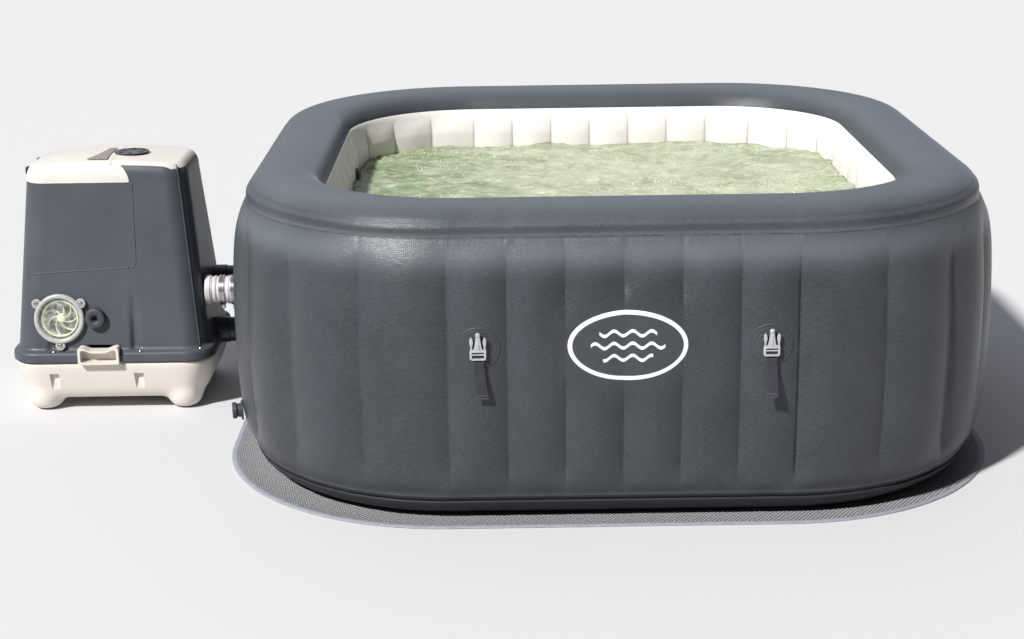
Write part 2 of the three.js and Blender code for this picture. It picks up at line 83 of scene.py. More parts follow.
def linear(code):
    """An sRGB hex colour as linear red, green, blue and alpha."""
    channels = [int(code[i:i + 2], 16) / 255 for i in (1, 3, 5)]
    return tuple(c / 12.92 if c <= 0.04045 else ((c + 0.055) / 1.055) ** 2.4 for c in channels) + (1.0,)


def start_material(name, **sockets):
    """A named material with one principled shader; sockets set the shader's own values."""
    material = bpy.data.materials.new(name)
    material.use_nodes = True
    tree = material.node_tree
    tree.nodes.clear()
    shader = add_node(tree, "ShaderNodeBsdfPrincipled")
    for socket, value in sockets.items():
        shader.inputs[socket.replace("_", " ")].default_value = value
    add_node(tree, "ShaderNodeOutputMaterial", {"Surface": shader.outputs[0]})
    return material, tree, shader


def piece_from(name, vertices, faces, material, smooth=True):
    """A mesh object at the origin from points in metres."""
    mesh = bpy.data.meshes.new(name)
    mesh.from_pydata([tuple(v) for v in vertices], [], [tuple(f) for f in faces])
    mesh.materials.append(material)
    mesh.polygons.foreach_set("use_smooth", [smooth] * len(mesh.polygons))
    mesh.update()
    made = bpy.data.objects.new(name, mesh)
    scene.collection.objects.link(made)
    return made


# The studio: a pale backdrop behind and overhead, and a dim room in front and to the right
world = bpy.data.worlds.new("studio")
world.use_nodes = True
tree = world.node_tree
way = add_node(tree, "ShaderNodeSeparateXYZ", {0: add_node(tree, "ShaderNodeTexCoord").outputs["Generated"]})
height = add_node(tree, "ShaderNodeMapRange", {"Value": way.outputs["Z"], "From Min": -0.02, "From Max": 0.45})
behind = add_node(tree, "ShaderNodeMapRange", {
    "Value": way.outputs["Y"], "From Min": -0.35, "From Max": 0.75, "To Min": 0.10, "To Max": 1.0,
})
aside = add_node(tree, "ShaderNodeMapRange", {
    "Value": way.outputs["X"], "From Min": -0.2, "From Max": 0.8, "To Min": 1.0, "To Max": 0.3,
})
glow = add_node(tree, "ShaderNodeMath", {0: height.outputs[0], 1: behind.outputs[0]}, operation="MULTIPLY")
glow = add_node(tree, "ShaderNodeMath", {0: glow.outputs[0], 1: aside.outputs[0]}, operation="MULTIPLY")
power = add_node(tree, "ShaderNodeMath", {0: glow.outputs[0], 1: 0.88, 2: 0.02}, operation="MULTIPLY_ADD")
backdrop = tree.nodes["Background"]
backdrop.inputs["Color"].default_value = linear("#eef3ff")
tree.links.new(power.outputs[0], backdrop.inputs["Strength"])
scene.world = world

floor_paint, tree, shader = start_material("floor_paper", Base_Color=linear("#c9cacb"), Roughness=0.9)
FLOOR_HALF = 40.0
floor_corners = [(x * FLOOR_HALF, y * FLOOR_HALF, -0.0005) for x, y in ((-1, -1), (1, -1), (1, 1), (-1, 1))]
floor = piece_from("studio_floor", floor_corners, [(0, 1, 2, 3)], floor_paint, smooth=False)


# ---- ground mat ----
# A foam-backed ground cloth cut to a rounded square, with a woven face and a
# paler bound edge. The tub stands on it, so it lies flat.

SIDE_PANELS = 6
CORNER_PANELS = 4
PANEL = 0.125
FLAT = SIDE_PANELS * PANEL / 2
TURN_PANELS = SIDE_PANELS + CORNER_PANELS
ALL_PANELS = 4 * TURN_PANELS
WALL_HALF = 0.9
WELL_HALF = 0.655
WELL_ROUNDING = 0.10


def around(t, half):
    """Points round the tub: t counts panels from the left end of the front, half is the half width."""
    t = np.asarray(t, float)
    side = np.floor(t / TURN_PANELS)
    rest = t - side * TURN_PANELS
    flat = FLAT * (1 - WELL_ROUNDING * np.clip((0.86 - np.asarray(half, float)) / 0.18, 0, 1))
    along = np.minimum(rest - SIDE_PANELS / 2, SIDE_PANELS / 2) * flat / (SIDE_PANELS / 2)
    angle = np.maximum(rest - SIDE_PANELS, 0) / CORNER_PANELS * math.pi / 2
    reach = half - flat
    x = along + reach * np.sin(angle)
    y = -flat - reach * np.cos(angle)
    turn = side * math.pi / 2
    return x * np.cos(turn) - y * np.sin(turn), x * np.sin(turn) + y * np.cos(turn)


def grid_faces(rows, columns, wrap_rows=False):
    """Quads of a grid whose columns run round and close."""
    r = np.arange(rows if wrap_rows else rows - 1)[:, None]
    c = np.arange(columns)[None, :]
    up = (r + 1) % rows
    right = (c + 1) % columns
    quads = np.stack([r * columns + c, r * columns + right, up * columns + right, up * columns + c], axis=-1)
    return quads.reshape(-1, 4)


def fan(first, columns, middle, flip=False):
    """Triangles that close one ring of a grid on a middle point."""
    c = np.arange(columns)
    ends = [first + c, first + (c + 1) % columns, np.full(columns, middle)]
    if flip:
        ends[0], ends[1] = ends[1], ends[0]
    return np.stack(ends, axis=-1)


def loft(name, rings, material, smooth=True):
    """A closed piece through rings of points, bottom ring first, each ring running counter-clockwise."""
    rings = np.asarray(rings)
    rows, columns, _ = rings.shape
    middles = [rings[0].mean(axis=0), rings[-1].mean(axis=0)]
    vertices = np.concatenate([rings.reshape(-1, 3), middles])
    total = rows * columns
    faces = list(grid_faces(rows, columns))
    faces += list(fan(0, columns, total, flip=True)) + list(fan(total - columns, columns, total + 1))
    return piece_from(name, vertices, faces, material, smooth)


def set_uv(piece, u, v):
    """Writes a UV map in metres from one value per vertex; the last column's seam is closed."""
    mesh = piece.data
    layer = mesh.uv_layers.new(name="cloth")
    loops = np.zeros(len(mesh.loops), int)
    mesh.loops.foreach_get("vertex_index", loops)
    uv = np.stack([np.asarray(u)[loops], np.asarray(v)[loops]], axis=-1)
    starts = np.array([p.loop_start for p in mesh.polygons])
    counts = np.array([p.loop_total for p in mesh.polygons])
    owner = np.repeat(np.arange(len(starts)), counts)
    highest = np.maximum.reduceat(uv[:, 0], starts)
    span = np.max(u) - np.min(u)
    uv[:, 0] += np.where(highest[owner] - uv[:, 0] > span / 2, span * (1 + 1 / max(len(set(u)) - 1, 1)), 0)
    layer.data.foreach_set("uv", uv.ravel())


def weave_height(tree, uv, spacing, turned=0.0):
    """Height of a plain weave, 0 to 1, from two crossed sets of threads that far apart in metres."""
    place = add_node(tree, "ShaderNodeMapping", {"Vector": uv, "Rotation": (0, 0, turned)})
    threads = []
    for direction in ("X", "Y"):
        wave = add_node(tree, "ShaderNodeTexWave", {
            "Vector": place.outputs[0], "Scale": 0.314 / spacing, "Distortion": 0.6, "Detail": 1.0,
        }, bands_direction=direction)
        threads.append(wave.outputs["Fac"])
    return add_node(tree, "ShaderNodeMath", {0: threads[0], 1: threads[1]}, operation="MULTIPLY").outputs[0]


# Woven polypropylene ground cloth, matt and flecked; threads 4 mm apart, drawn at 7.5 mm to show
mat_cloth, tree, shader = start_material("woven_ground_cloth", Roughness=0.92, Specular_IOR_Level=0.25)
coords = add_node(tree, "ShaderNodeTexCoord")
threads = weave_height(tree, coords.outputs["Object"], 0.0075, math.radians(34))
flecks = add_node(tree, "ShaderNodeTexNoise", {
    "Vector": coords.outputs["Object"], "Scale": 260.0, "Detail": 4.0,
})
blend = add_node(tree, "ShaderNodeMath", {0: threads, 1: flecks.outputs["Fac"]}, operation="MULTIPLY")
tint = add_node(tree, "ShaderNodeValToRGB", {"Fac": blend.outputs[0]})
tint.color_ramp.elements[0].position = 0.05
tint.color_ramp.elements[0].color = linear("#67666a")
tint.color_ramp.elements[1].position = 0.42
tint.color_ramp.elements[1].color = linear("#cccbcf")
bump = add_node(tree, "ShaderNodeBump", {"Height": threads, "Strength": 0.6, "Distance": 0.0012})
tree.links.new(tint.outputs[0], shader.inputs["Base Color"])
tree.links.new(bump.outputs[0], shader.inputs["Normal"])

# Bound edge of the mat: plain smooth tape, pale blue grey
mat_tape, tree, shader = start_material("binding_tape", Roughness=0.7)
coords = add_node(tree, "ShaderNodeTexCoord")
streaks = add_node(tree, "ShaderNodeTexNoise", {
    "Vector": coords.outputs["Object"], "Scale": 90.0, "Detail": 3.0,
})
tint = add_node(tree, "ShaderNodeMix", {
    "Factor": streaks.outputs["Fac"], 6: linear("#777c86"), 7: linear("#9ea3ad"),
}, data_type="RGBA")
tree.links.new(tint.outputs[2], shader.inputs["Base Color"])

mat_low, mat_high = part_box("ground_mat")
mat_centre = (Vector(mat_low) + Vector(mat_high)) / 2
MAT_TOP = mat_high[2]
TAPE_WIDTH = 0.017
mat_t = np.arange(0, ALL_PANELS, 0.125)


def mat_ring(inset, z):
    half = (mat_high[0] - mat_low[0]) / 2 - inset
    x, y = around(mat_t, half)
    return np.stack([x + mat_centre.x, y + mat_centre.y, np.full(len(mat_t), z)], axis=-1)


mat_rings = [mat_ring(TAPE_WIDTH, 0.0), mat_ring(0.0008, 0.0), mat_ring(0, 0.0012), mat_ring(0.0008, MAT_TOP)]
mat_rings += [mat_ring(TAPE_WIDTH - 0.002, MAT_TOP), mat_ring(TAPE_WIDTH, MAT_TOP - 0.0008)]
mat_rings += [mat_ring(0.08, MAT_TOP - 0.0006), mat_ring(0.3, MAT_TOP - 0.0006)]
mat = loft("ground_mat_cloth", mat_rings, mat_cloth)
mat.data.materials.append(mat_tape)
for face in mat.data.polygons:
    inside = abs(face.center.z - MAT_TOP) < 0.0015 and face.index // len(mat_t) < 5
    face.material_index = 1 if inside or face.center.z < MAT_TOP - 0.001 else 0
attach(mat, "tub")
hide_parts("ground_mat")
mat_span = mat_high[0] - mat_low[0]


# ---- air wall: outer skin, rolled rim and bottom pan ----
# Coated polyester fabric, welded to upright ties every 125 mm and blown up hard, so each
# panel bulges between its weld lines. A welded band runs round under the rim.

def smooth_line(points, count):
    """A round-cornered line through the points, as count places an even distance apart."""
    p = np.asarray(points, float)
    p = np.vstack([2 * p[0] - p[1], p, 2 * p[-1] - p[-2]])
    out = []
    for a, b, c, d in zip(p[:-3], p[1:-2], p[2:-1], p[3:]):
        s = np.linspace(0, 1, 24, endpoint=False)[:, None]
        out.append(0.5 * (2 * b + (c - a) * s + (2 * a - 5 * b + 4 * c - d) * s ** 2
                          + (3 * b - a - 3 * c + d) * s ** 3))
    line = np.vstack(out + [p[-2][None]])
    length = np.concatenate([[0], np.cumsum(np.linalg.norm(np.diff(line, axis=0), axis=1))])
    even = np.linspace(0, length[-1], count)
    return np.stack([np.interp(even, length, line[:, i]) for i in range(line.shape[1])], axis=-1)


def rise(x, start, end):
    """0 before start, 1 after end, and a smooth step between."""
    s = np.clip((np.asarray(x, float) - start) / (end - start), 0, 1)
    return s * s * (3 - 2 * s)


def bell(x, middle, width):
    return np.exp(-((np.asarray(x, float) - middle) / width) ** 2)


PANEL_STEPS = np.array([0, 0.014, 0.032, 0.06, 0.11, 0.18, 0.27, 0.38,
                        0.5, 0.62, 0.73, 0.82, 0.89, 0.94, 0.968, 0.986])
wall_t = (np.arange(ALL_PANELS)[:, None] + PANEL_STEPS[None, :]).ravel()
wall_w = np.tile(PANEL_STEPS, ALL_PANELS)


def crumple(t, z, size, seed):
    """Small uneven folds, from about -1 to 1, that repeat nowhere round the wall."""
    x, y = around(t, WALL_HALF)
    return np.array([noise.noise(Vector((a / size, b / size, c / size + seed * 7.3))) for a, b, c in zip(x, y, z)])


# PVC-coated polyester, calendered: satin, faintly woven, a little dusty; threads 1 mm apart, drawn at 2.6 mm.
# Up-facing faces are mixed towards the weld colour, as dust and as painted light from the sky; the weld attribute
# also carries painted glints and a painted highlight band.
def coated_fabric(name, dark, light, weld_and_highlight, roughness, spacing=0.0026):
    material, tree, shader = start_material(name, Roughness=roughness, Specular_IOR_Level=0.32,
                                            Sheen_Roughness=0.4, Sheen_Tint=linear("#b4c2d8"))
    coords = add_node(tree, "ShaderNodeTexCoord")
    threads = weave_height(tree, coords.outputs["UV"], spacing)
    clouds = add_node(tree, "ShaderNodeTexNoise", {
        "Vector": coords.outputs["Object"], "Scale": 5.0, "Detail": 5.0,
    })
    grain = add_node(tree, "ShaderNodeTexNoise", {
        "Vector": coords.outputs["Object"], "Scale": 420.0, "Detail": 2.0,
    })
    yarn_place = add_node(tree, "ShaderNodeMapping", {
        "Vector": coords.outputs["UV"], "Scale": (90.0, 520.0, 1.0),
    })
    yarn = add_node(tree, "ShaderNodeTexNoise", {"Vector": yarn_place.outputs[0], "Scale": 1.0, "Detail": 3.0})
    mixed = add_node(tree, "ShaderNodeMath", {
        0: clouds.outputs["Fac"], 1: grain.outputs["Fac"],
    }, operation="ADD")
    mixed = add_node(tree, "ShaderNodeMath", {0: yarn.outputs["Fac"], 1: 1.6, 2: mixed.outputs[0]},
                     operation="MULTIPLY_ADD")
    speck = add_node(tree, "ShaderNodeMapRange", {
        "Value": mixed.outputs[0], "From Min": 1.25, "From Max": 2.35,
    })
    tint = add_node(tree, "ShaderNodeMix", {"Factor": speck.outputs[0], 6: linear(dark), 7: linear(light)},
                    data_type="RGBA")
    # The weld attribute lightens the colour and lowers the roughness along the weld lines, with a painted glint on
    # the rim band welds, and over a painted highlight band under the rim
    line = add_node(tree, "ShaderNodeAttribute", attribute_name="weld_and_highlight")
    normal = add_node(tree, "ShaderNodeSeparateXYZ", {0: coords.outputs["Normal"]})
    # Up-facing faces take more sheen and are mixed towards the weld colour: dust, and painted light from the sky on
    # the tops
    dust_and_sky_light = add_node(tree, "ShaderNodeMapRange", {
        "Value": normal.outputs["Z"], "From Min": 0.45, "To Max": 0.34,
    })
    dusty_and_sky_lit = add_node(tree, "ShaderNodeMix", {"Factor": dust_and_sky_light.outputs[0], 6: tint.outputs[2], 7: linear(weld_and_highlight)},
                     data_type="RGBA")
    painted = add_node(tree, "ShaderNodeMix", {
        "Factor": line.outputs["Fac"], 6: dusty_and_sky_lit.outputs[2], 7: linear(weld_and_highlight),
    }, data_type="RGBA")
    height = add_node(tree, "ShaderNodeMath", {0: threads, 1: 0.6}, operation="MULTIPLY")
    both = add_node(tree, "ShaderNodeMath", {0: height.outputs[0], 1: mixed.outputs[0]}, operation="ADD")
    bump = add_node(tree, "ShaderNodeBump", {"Height": both.outputs[0], "Strength": 0.4, "Distance": 0.0008})
    sheen = add_node(tree, "ShaderNodeMapRange", {
        "Value": clouds.outputs["Fac"], "To Min": roughness - 0.07, "To Max": roughness + 0.09,
    })
    sheen = add_node(tree, "ShaderNodeMath", {0: line.outputs["Fac"], 1: -0.13, 2: sheen.outputs[0]},
                     operation="MULTIPLY_ADD")
    tree.links.new(painted.outputs[2], shader.inputs["Base Color"])
    tree.links.new(dust_and_sky_light.outputs[0], shader.inputs["Sheen Weight"])
    tree.links.new(sheen.outputs[0], shader.inputs["Roughness"])
    tree.links.new(bump.outputs[0], shader.inputs["Normal"])
    return material


def write_weld_and_highlight(piece, values):
    """Marks where the weld lines run, and on the wall a painted highlight band, from 0 to 1 at each vertex."""
    layer = piece.data.attributes.new("weld_and_highlight", "FLOAT", "POINT")
    layer.data.foreach_set("value", np.clip(np.asarray(values, float), 0, 1))


skin_fabric = coated_fabric("coated_fabric_slate", "#2c3035", "#474c52", "#747b82", 0.36)
WALL_LINE = [
    (0.862, 0.052), (0.885, 0.110), (0.896, 0.190), (0.900, 0.330), (0.899, 0.440), (0.892, 0.545),
    (0.876, 0.622), (0.854, 0.672), (0.824, 0.699), (0.780, 0.710), (0.735, 0.706), (0.702, 0.692), (0.682, 0.670),
    (0.673, 0.650), (0.670, 0.630),
]
SEAM_DEPTH = 0.0160
RIM_BAND = (0.650, 0.674)
PAN_WELD = 0.065
# Middle height of a painted highlight band on the wall, just below the rim band
PAINTED_HIGHLIGHT_Z = 0.615
wall_line = smooth_line(WALL_LINE, 150)
wall_half, wall_z = wall_line[:, 0], wall_line[:, 1]
outer_side = np.arange(len(wall_line)) < np.argmax(wall_z)
tie = rise(wall_z, 0.066, 0.150) * (1 - rise(wall_z, 0.530, 0.642)) * outer_side

badge_low, badge_high = (Vector(corner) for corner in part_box("badge_patch"))
badge_centre = (badge_low + badge_high) / 2
BADGE_HALF = ((badge_high.x - badge_low.x) / 2, (badge_high.z - badge_low.z) / 2)


def badge_reach(x, z):
    """1 at the middle of the badge and 0 outside it: the stiff patch bridges the weld lines there."""
    out = np.hypot((x - badge_centre.x) / BADGE_HALF[0], (z - badge_centre.z) / BADGE_HALF[1])
    return 1 - rise(out, 0.95, 2.0)


def wall_drop(t, w, z, ties):
    """How far the skin lies inside its fullest outline, in metres."""
    x, y = around(t, WALL_HALF)
    depth = SEAM_DEPTH * (1 + 0.15 * (np.asarray(t) % TURN_PANELS > SIDE_PANELS - 0.02))
    depth = depth * (1 - 0.75 * badge_reach(x, z) * (y < 0))
    return depth * ties * np.abs(2 * w - 1) ** 2.0


grid_t = np.broadcast_to(wall_t, (len(wall_z), len(wall_t)))
grid_w = np.broadcast_to(wall_w, grid_t.shape)
grid_z = np.broadcast_to(wall_z[:, None], grid_t.shape)
near_seam = bell(np.minimum(grid_w, 1 - grid_w), 0, 0.16)
outer = outer_side[:, None]
folds = crumple(grid_t.ravel(), grid_z.ravel(), 0.045, 1).reshape(grid_t.shape)
puckers = crumple(grid_t.ravel() * 1.0, grid_z.ravel() * 0.3, 0.011, 2).reshape(grid_t.shape)
drop = wall_drop(grid_t, grid_w, grid_z, tie[:, None])
drop += outer * folds * (0.0011 * near_seam + 0.0022 * bell(grid_z, 0.085, 0.035))
drop += outer * puckers * 0.0010 * (bell(grid_z, 0.640, 0.018) + bell(grid_z, 0.075, 0.012))
in_band = rise(grid_z, RIM_BAND[0] - 0.002, RIM_BAND[0]) * (1 - rise(grid_z, RIM_BAND[1], RIM_BAND[1] + 0.002))
drop += outer * 0.0075 * np.where(grid_z < RIM_BAND[0],
                                  bell(grid_z, RIM_BAND[0], 0.036), bell(grid_z, RIM_BAND[0], 0.013))
drop += outer * 0.0035 * np.where(grid_z > PAN_WELD, bell(grid_z, PAN_WELD, 0.022), 1.0)
drop -= outer * (0.0009 * in_band + 0.0012 * bell(grid_z, PAN_WELD, 0.0028))
drop += outer * 0.0012 * (bell(grid_z, RIM_BAND[0] - 0.003, 0.003) + bell(grid_z, RIM_BAND[1] + 0.003, 0.003))
x, y = around(grid_t, wall_half[:, None] - np.maximum(drop, -0.0009))
outside = np.stack([x, y, grid_z], axis=-1)
inner_x, inner_y = around(grid_t[::6], wall_half[::6, None] - drop[::6] - 0.002)
inside = np.stack([inner_x, inner_y, grid_z[::6] - 0.0015 * (wall_half[::6, None] < 0.84)], axis=-1)[::-1]
shell = np.concatenate([outside, inside])
rows, columns, _ = shell.shape
skin = piece_from("air_wall_skin", shell.reshape(-1, 3), grid_faces(rows, columns, wrap_rows=True), skin_fabric)
# Weld attribute of the wall: the rim band welds, lightened partly as a painted glint, the bottom pan weld, and a
# broad painted highlight band just below the rim band
weld_and_highlight = 0.35 * outer * (bell(grid_z, RIM_BAND[0], 0.0022) + 0.3 * bell(grid_z, RIM_BAND[1], 0.0022))
weld_and_highlight = weld_and_highlight + outer * bell(grid_z, PAN_WELD, 0.0020) + 0.45 * outer * bell(grid_z, PAINTED_HIGHLIGHT_Z, 0.035)
write_weld_and_highlight(skin, np.concatenate([weld_and_highlight.ravel(), np.zeros(inside.shape[0] * columns)]))
line_length = np.concatenate([[0], np.cumsum(np.linalg.norm(np.diff(wall_line, axis=0), axis=1))])
strip = np.concatenate([line_length, line_length[::6][::-1]])
set_uv(skin, np.tile(wall_t * PANEL, rows), np.repeat(strip, columns))
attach(skin, "tub")
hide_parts("outer_skin")

# The bottom pan is the same fabric in charcoal, pulled in under the wall and slightly creased
pan_fabric = coated_fabric("coated_fabric_charcoal", "#222427", "#303337", "#44484d", 0.55)
skin.data.materials.append(pan_fabric)
for face in skin.data.polygons:
    if face.center.z < PAN_WELD:
        face.material_index = 1
PAN_LINE = [(0.795, 0.0042), (0.815, 0.0085), (0.838, 0.022), (0.853, 0.036), (0.861, 0.0505)]
pan_line = smooth_line(PAN_LINE, 16)
pan_t = np.arange(0, ALL_PANELS, 0.125)
pan_rings = []
for i, (half, z) in enumerate(pan_line):
    crease = crumple(pan_t, np.full(len(pan_t), z * 0.4), 0.03, 5) * 0.003 * bell(z, 0.03, 0.018)
    x, y = around(pan_t, half + np.minimum(crease, 0.0015))
    pan_rings.append(np.stack([x, y, np.full(len(pan_t), z)], axis=-1))
for half, z in ((0.858, 0.0505), (0.835, 0.024), (0.79, 0.0062)):
    x, y = around(pan_t, half - 0.002)
    pan_rings.append(np.stack([x, y, np.full(len(pan_t), z)], axis=-1))
pan = loft("bottom_pan", pan_rings, pan_fabric)
write_weld_and_highlight(pan, np.zeros(len(pan.data.vertices)))
pan_u = np.concatenate([np.tile(pan_t * PANEL, len(pan_rings)), [0, 0]])
set_uv(pan, pan_u, np.concatenate([np.repeat(np.arange(len(pan_rings)) * 0.008, len(pan_t)), [0, 0]]))
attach(pan, "tub")
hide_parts("bottom_sheet")

# Upright ties inside the wall: bare base fabric, never in view
nodes["tension_baffles"].data.materials[0] = pan_fabric


# ---- inner liner and floor ----
# Off-white coated fabric, tied at the same places as the outer wall. Its panels
# bulge into the well and curve under the grey rim where they are welded to it.

liner_fabric = coated_fabric("coated_fabric_off_white", "#dfdad6", "#ebe7e4", "#aca59f", 0.42)
LINER_LINE = [(0.692, 0.661), (0.680, 0.6615), (0.6725, 0.656), (0.6660, 0.640), (0.659, 0.610), (0.655, 0.560),
              (0.655, 0.300), (0.656, 0.0105)]
LINER_DEPTH = 0.0090
liner_line = smooth_line(LINER_LINE, 110)
liner_half, liner_z = liner_line[:, 0], liner_line[:, 1]
liner_tie = (1 - rise(liner_z, 0.600, 0.652)) * rise(liner_z, 0.02, 0.08)
grid_z = np.broadcast_to(liner_z[:, None], (len(liner_z), len(wall_t)))
grid_t = np.broadcast_to(wall_t, grid_z.shape)
grid_w = np.broadcast_to(wall_w, grid_z.shape)


def liner_bulge(t, w, z, ties):
    """How far the liner swells into the well; the weld lines fall back towards the ties."""
    wander = crumple(np.ravel(t), np.ravel(z) * 0.5, 0.09, 9).reshape(np.shape(z)) * 0.0014
    return ties * (LINER_DEPTH * (1 - np.abs(2 * w - 1) ** 2.1) - 0.001 + wander)


bulge = liner_bulge(grid_t, grid_w, grid_z, liner_tie[:, None])
bulge += (crumple(grid_t.ravel(), grid_z.ravel(), 0.02, 11).reshape(grid_z.shape)
          * 0.0014 * bell(grid_z, 0.635, 0.015))
x, y = around(grid_t, liner_half[:, None] - bulge)
face_side = np.stack([x, y, grid_z], axis=-1)
back_x, back_y = around(grid_t[::6], liner_half[::6, None] - bulge[::6] + 0.0016)
back_side = np.stack([back_x, back_y, grid_z[::6]], axis=-1)[::-1]
shell = np.concatenate([face_side, back_side])
rows, columns, _ = shell.shape
liner = piece_from("liner", shell.reshape(-1, 3), grid_faces(rows, columns, wrap_rows=True), liner_fabric)
liner_weld = liner_tie[:, None] * bell(np.minimum(grid_w, 1 - grid_w), 0, 0.022)
write_weld_and_highlight(liner, np.concatenate([liner_weld.ravel(), np.zeros(back_side.shape[0] * columns)]))
line_length = np.concatenate([[0], np.cumsum(np.linalg.norm(np.diff(liner_line, axis=0), axis=1))])
set_uv(liner, np.tile(wall_t * PANEL, rows),
       np.repeat(np.concatenate([line_length, line_length[::6][::-1]]), columns))
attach(liner, "tub")
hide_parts("inner_liner")
nodes["floor_sheet"].data.materials[0] = liner_fabric


# ---- water ----
# The tub is full of aerated water: a rolling, foamy surface, pale green over the
# white liner. It fills the well from the floor to a hand's breadth under the rim.

# Bubbly chlorinated water lit from above: pale green with drifting foam, glossy and rippled; darker and greener
# towards the edges and the front left, partly greener water and partly painted shade of the rim.
water_look, tree, shader = start_material("aerated_water", Roughness=0.10, IOR=1.33, Specular_IOR_Level=0.5)
coords = add_node(tree, "ShaderNodeTexCoord")
stretch = add_node(tree, "ShaderNodeMapping", {"Vector": coords.outputs["Object"], "Scale": (1.0, 1.7, 1.0)})
drift = add_node(tree, "ShaderNodeTexNoise", {
    "Vector": stretch.outputs[0], "Scale": 2.1, "Detail": 10.0, "Roughness": 0.6, "Distortion": 2.2,
})
froth = add_node(tree, "ShaderNodeTexNoise", {
    "Vector": stretch.outputs[0], "Scale": 11.0, "Detail": 12.0, "Roughness": 0.68, "Distortion": 1.6,
})
# Distance from a point right of and behind the middle darkens the water towards the edges and the front left:
# partly greener water, partly painted shade of the rim
offset = add_node(tree, "ShaderNodeVectorMath", {0: coords.outputs["Object"], 1: (0.16, 0.10, 0.556)},
                  operation="DISTANCE")
stirred_and_edge_shade = add_node(tree, "ShaderNodeMapRange", {
    "Value": offset.outputs["Value"], "From Min": 0.20, "From Max": 0.85, "To Min": 0.09, "To Max": -0.24,
})
cloudy_and_shaded = add_node(tree, "ShaderNodeMath", {0: drift.outputs["Fac"], 1: stirred_and_edge_shade.outputs[0]}, operation="ADD")
water_and_shade_tint = add_node(tree, "ShaderNodeValToRGB", {"Fac": cloudy_and_shaded.outputs[0]})
for place, code in ((0.30, "#71865d"), (0.42, "#8e9c7a"), (0.54, "#a6ae90"), (0.70, "#babda6")):
    stop = water_and_shade_tint.color_ramp.elements.new(place)
    stop.color = linear(code)
water_and_shade_tint.color_ramp.elements[0].color = linear("#5d7848")
water_and_shade_tint.color_ramp.elements[-1].color = linear("#c9cab8")
foam = add_node(tree, "ShaderNodeMapRange", {
    "Value": froth.outputs["Fac"], "From Min": 0.42, "From Max": 0.72, "To Min": 0.0, "To Max": 0.8,
})
painted = add_node(tree, "ShaderNodeMix", {
    "Factor": foam.outputs[0], 6: water_and_shade_tint.outputs[0], 7: linear("#c4c5b0"),
}, data_type="RGBA")
ripple = add_node(tree, "ShaderNodeTexNoise", {
    "Vector": stretch.outputs[0], "Scale": 55.0, "Detail": 8.0, "Roughness": 0.6, "Distortion": 0.5,
})
# Fine white flecks on the ripple crests: fine froth and painted glints of light
fizz_and_glints = add_node(tree, "ShaderNodeMapRange", {"Value": ripple.outputs["Fac"], "From Min": 0.54, "From Max": 0.68,
                                             "To Max": 0.45})
painted = add_node(tree, "ShaderNodeMix", {
    "Factor": fizz_and_glints.outputs[0], 6: painted.outputs[2], 7: linear("#e3e3d6"),
}, data_type="RGBA")
bump = add_node(tree, "ShaderNodeBump", {"Height": ripple.outputs["Fac"], "Strength": 0.55, "Distance": 0.008})
tree.links.new(painted.outputs[2], shader.inputs["Base Color"])
tree.links.new(bump.outputs[0], shader.inputs["Normal"])

WATER_LEVEL = 0.556
WATER_RINGS = 84
water_t = np.arange(0, ALL_PANELS, 0.0625)
water_w = water_t % 1
edge_z = np.full(len(water_t), WATER_LEVEL)
edge_half = WELL_HALF - liner_bulge(water_t, water_w, edge_z, 1.0) - 0.0006
edge_x, edge_y = around(water_t, edge_half)


def wave(x, y):
    """Height of the stirred surface above its level, in metres."""
    swell = noise.noise(Vector((x * 5.0, y * 7.5, 2.0)))
    chop = noise.noise(Vector((x * 13.0 + swell, y * 19.0, 6.0)))
    fine = noise.noise(Vector((x * 34.0, y * 46.0, 9.0)))
    crest = 1 - abs(noise.noise(Vector((x * 9.0, y * 15.0, 14.0)))) * 2
    return 0.0085 * swell + 0.0062 * chop + 0.0024 * fine + 0.0040 * max(crest, 0) ** 3


water_rings = []
for level in (0.016, 0.3):
    water_rings.append(np.stack([edge_x, edge_y, np.full(len(water_t), level)], axis=-1))
for i in range(WATER_RINGS):
    share = 1 - i / WATER_RINGS
    ring = [(x * share, y * share, WATER_LEVEL + wave(x * share, y * share)) for x, y in zip(edge_x, edge_y)]
    water_rings.append(np.array(ring))
water = loft("water", water_rings, water_look)
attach(water, "tub")

# Loose froth: clusters of bubbles that stand a little out of the surface
bubble_tree = bpy.data.node_groups.new("froth_bubbles", "GeometryNodeTree")
bubble_tree.interface.new_socket("Geometry", in_out="INPUT", socket_type="NodeSocketGeometry")
for label, value in (("Bubbles per square metre", 2600.0), ("Smallest", 0.0006), ("Largest", 0.0019)):
    bubble_tree.interface.new_socket(label, in_out="INPUT", socket_type="NodeSocketFloat").default_value = value
bubble_tree.interface.new_socket("Bubble look", in_out="INPUT", socket_type="NodeSocketMaterial")
bubble_tree.interface.new_socket("Geometry", in_out="OUTPUT", socket_type="NodeSocketGeometry")
given = add_node(bubble_tree, "NodeGroupInput")
facing = add_node(bubble_tree, "GeometryNodeInputNormal")
upward = add_node(bubble_tree, "ShaderNodeSeparateXYZ", {0: facing.outputs[0]})
on_top = add_node(bubble_tree, "FunctionNodeCompare", {
    0: upward.outputs["Z"], 1: 0.3,
}, operation="GREATER_THAN")
patchy = add_node(bubble_tree, "ShaderNodeTexNoise", {"Scale": 4.5, "Detail": 3.0})
sparse = add_node(bubble_tree, "ShaderNodeMapRange", {
    "Value": patchy.outputs["Fac"], "From Min": 0.48, "From Max": 0.66,
})
amount = add_node(bubble_tree, "ShaderNodeMath", {
    0: sparse.outputs[0], 1: given.outputs["Bubbles per square metre"],
}, operation="MULTIPLY")
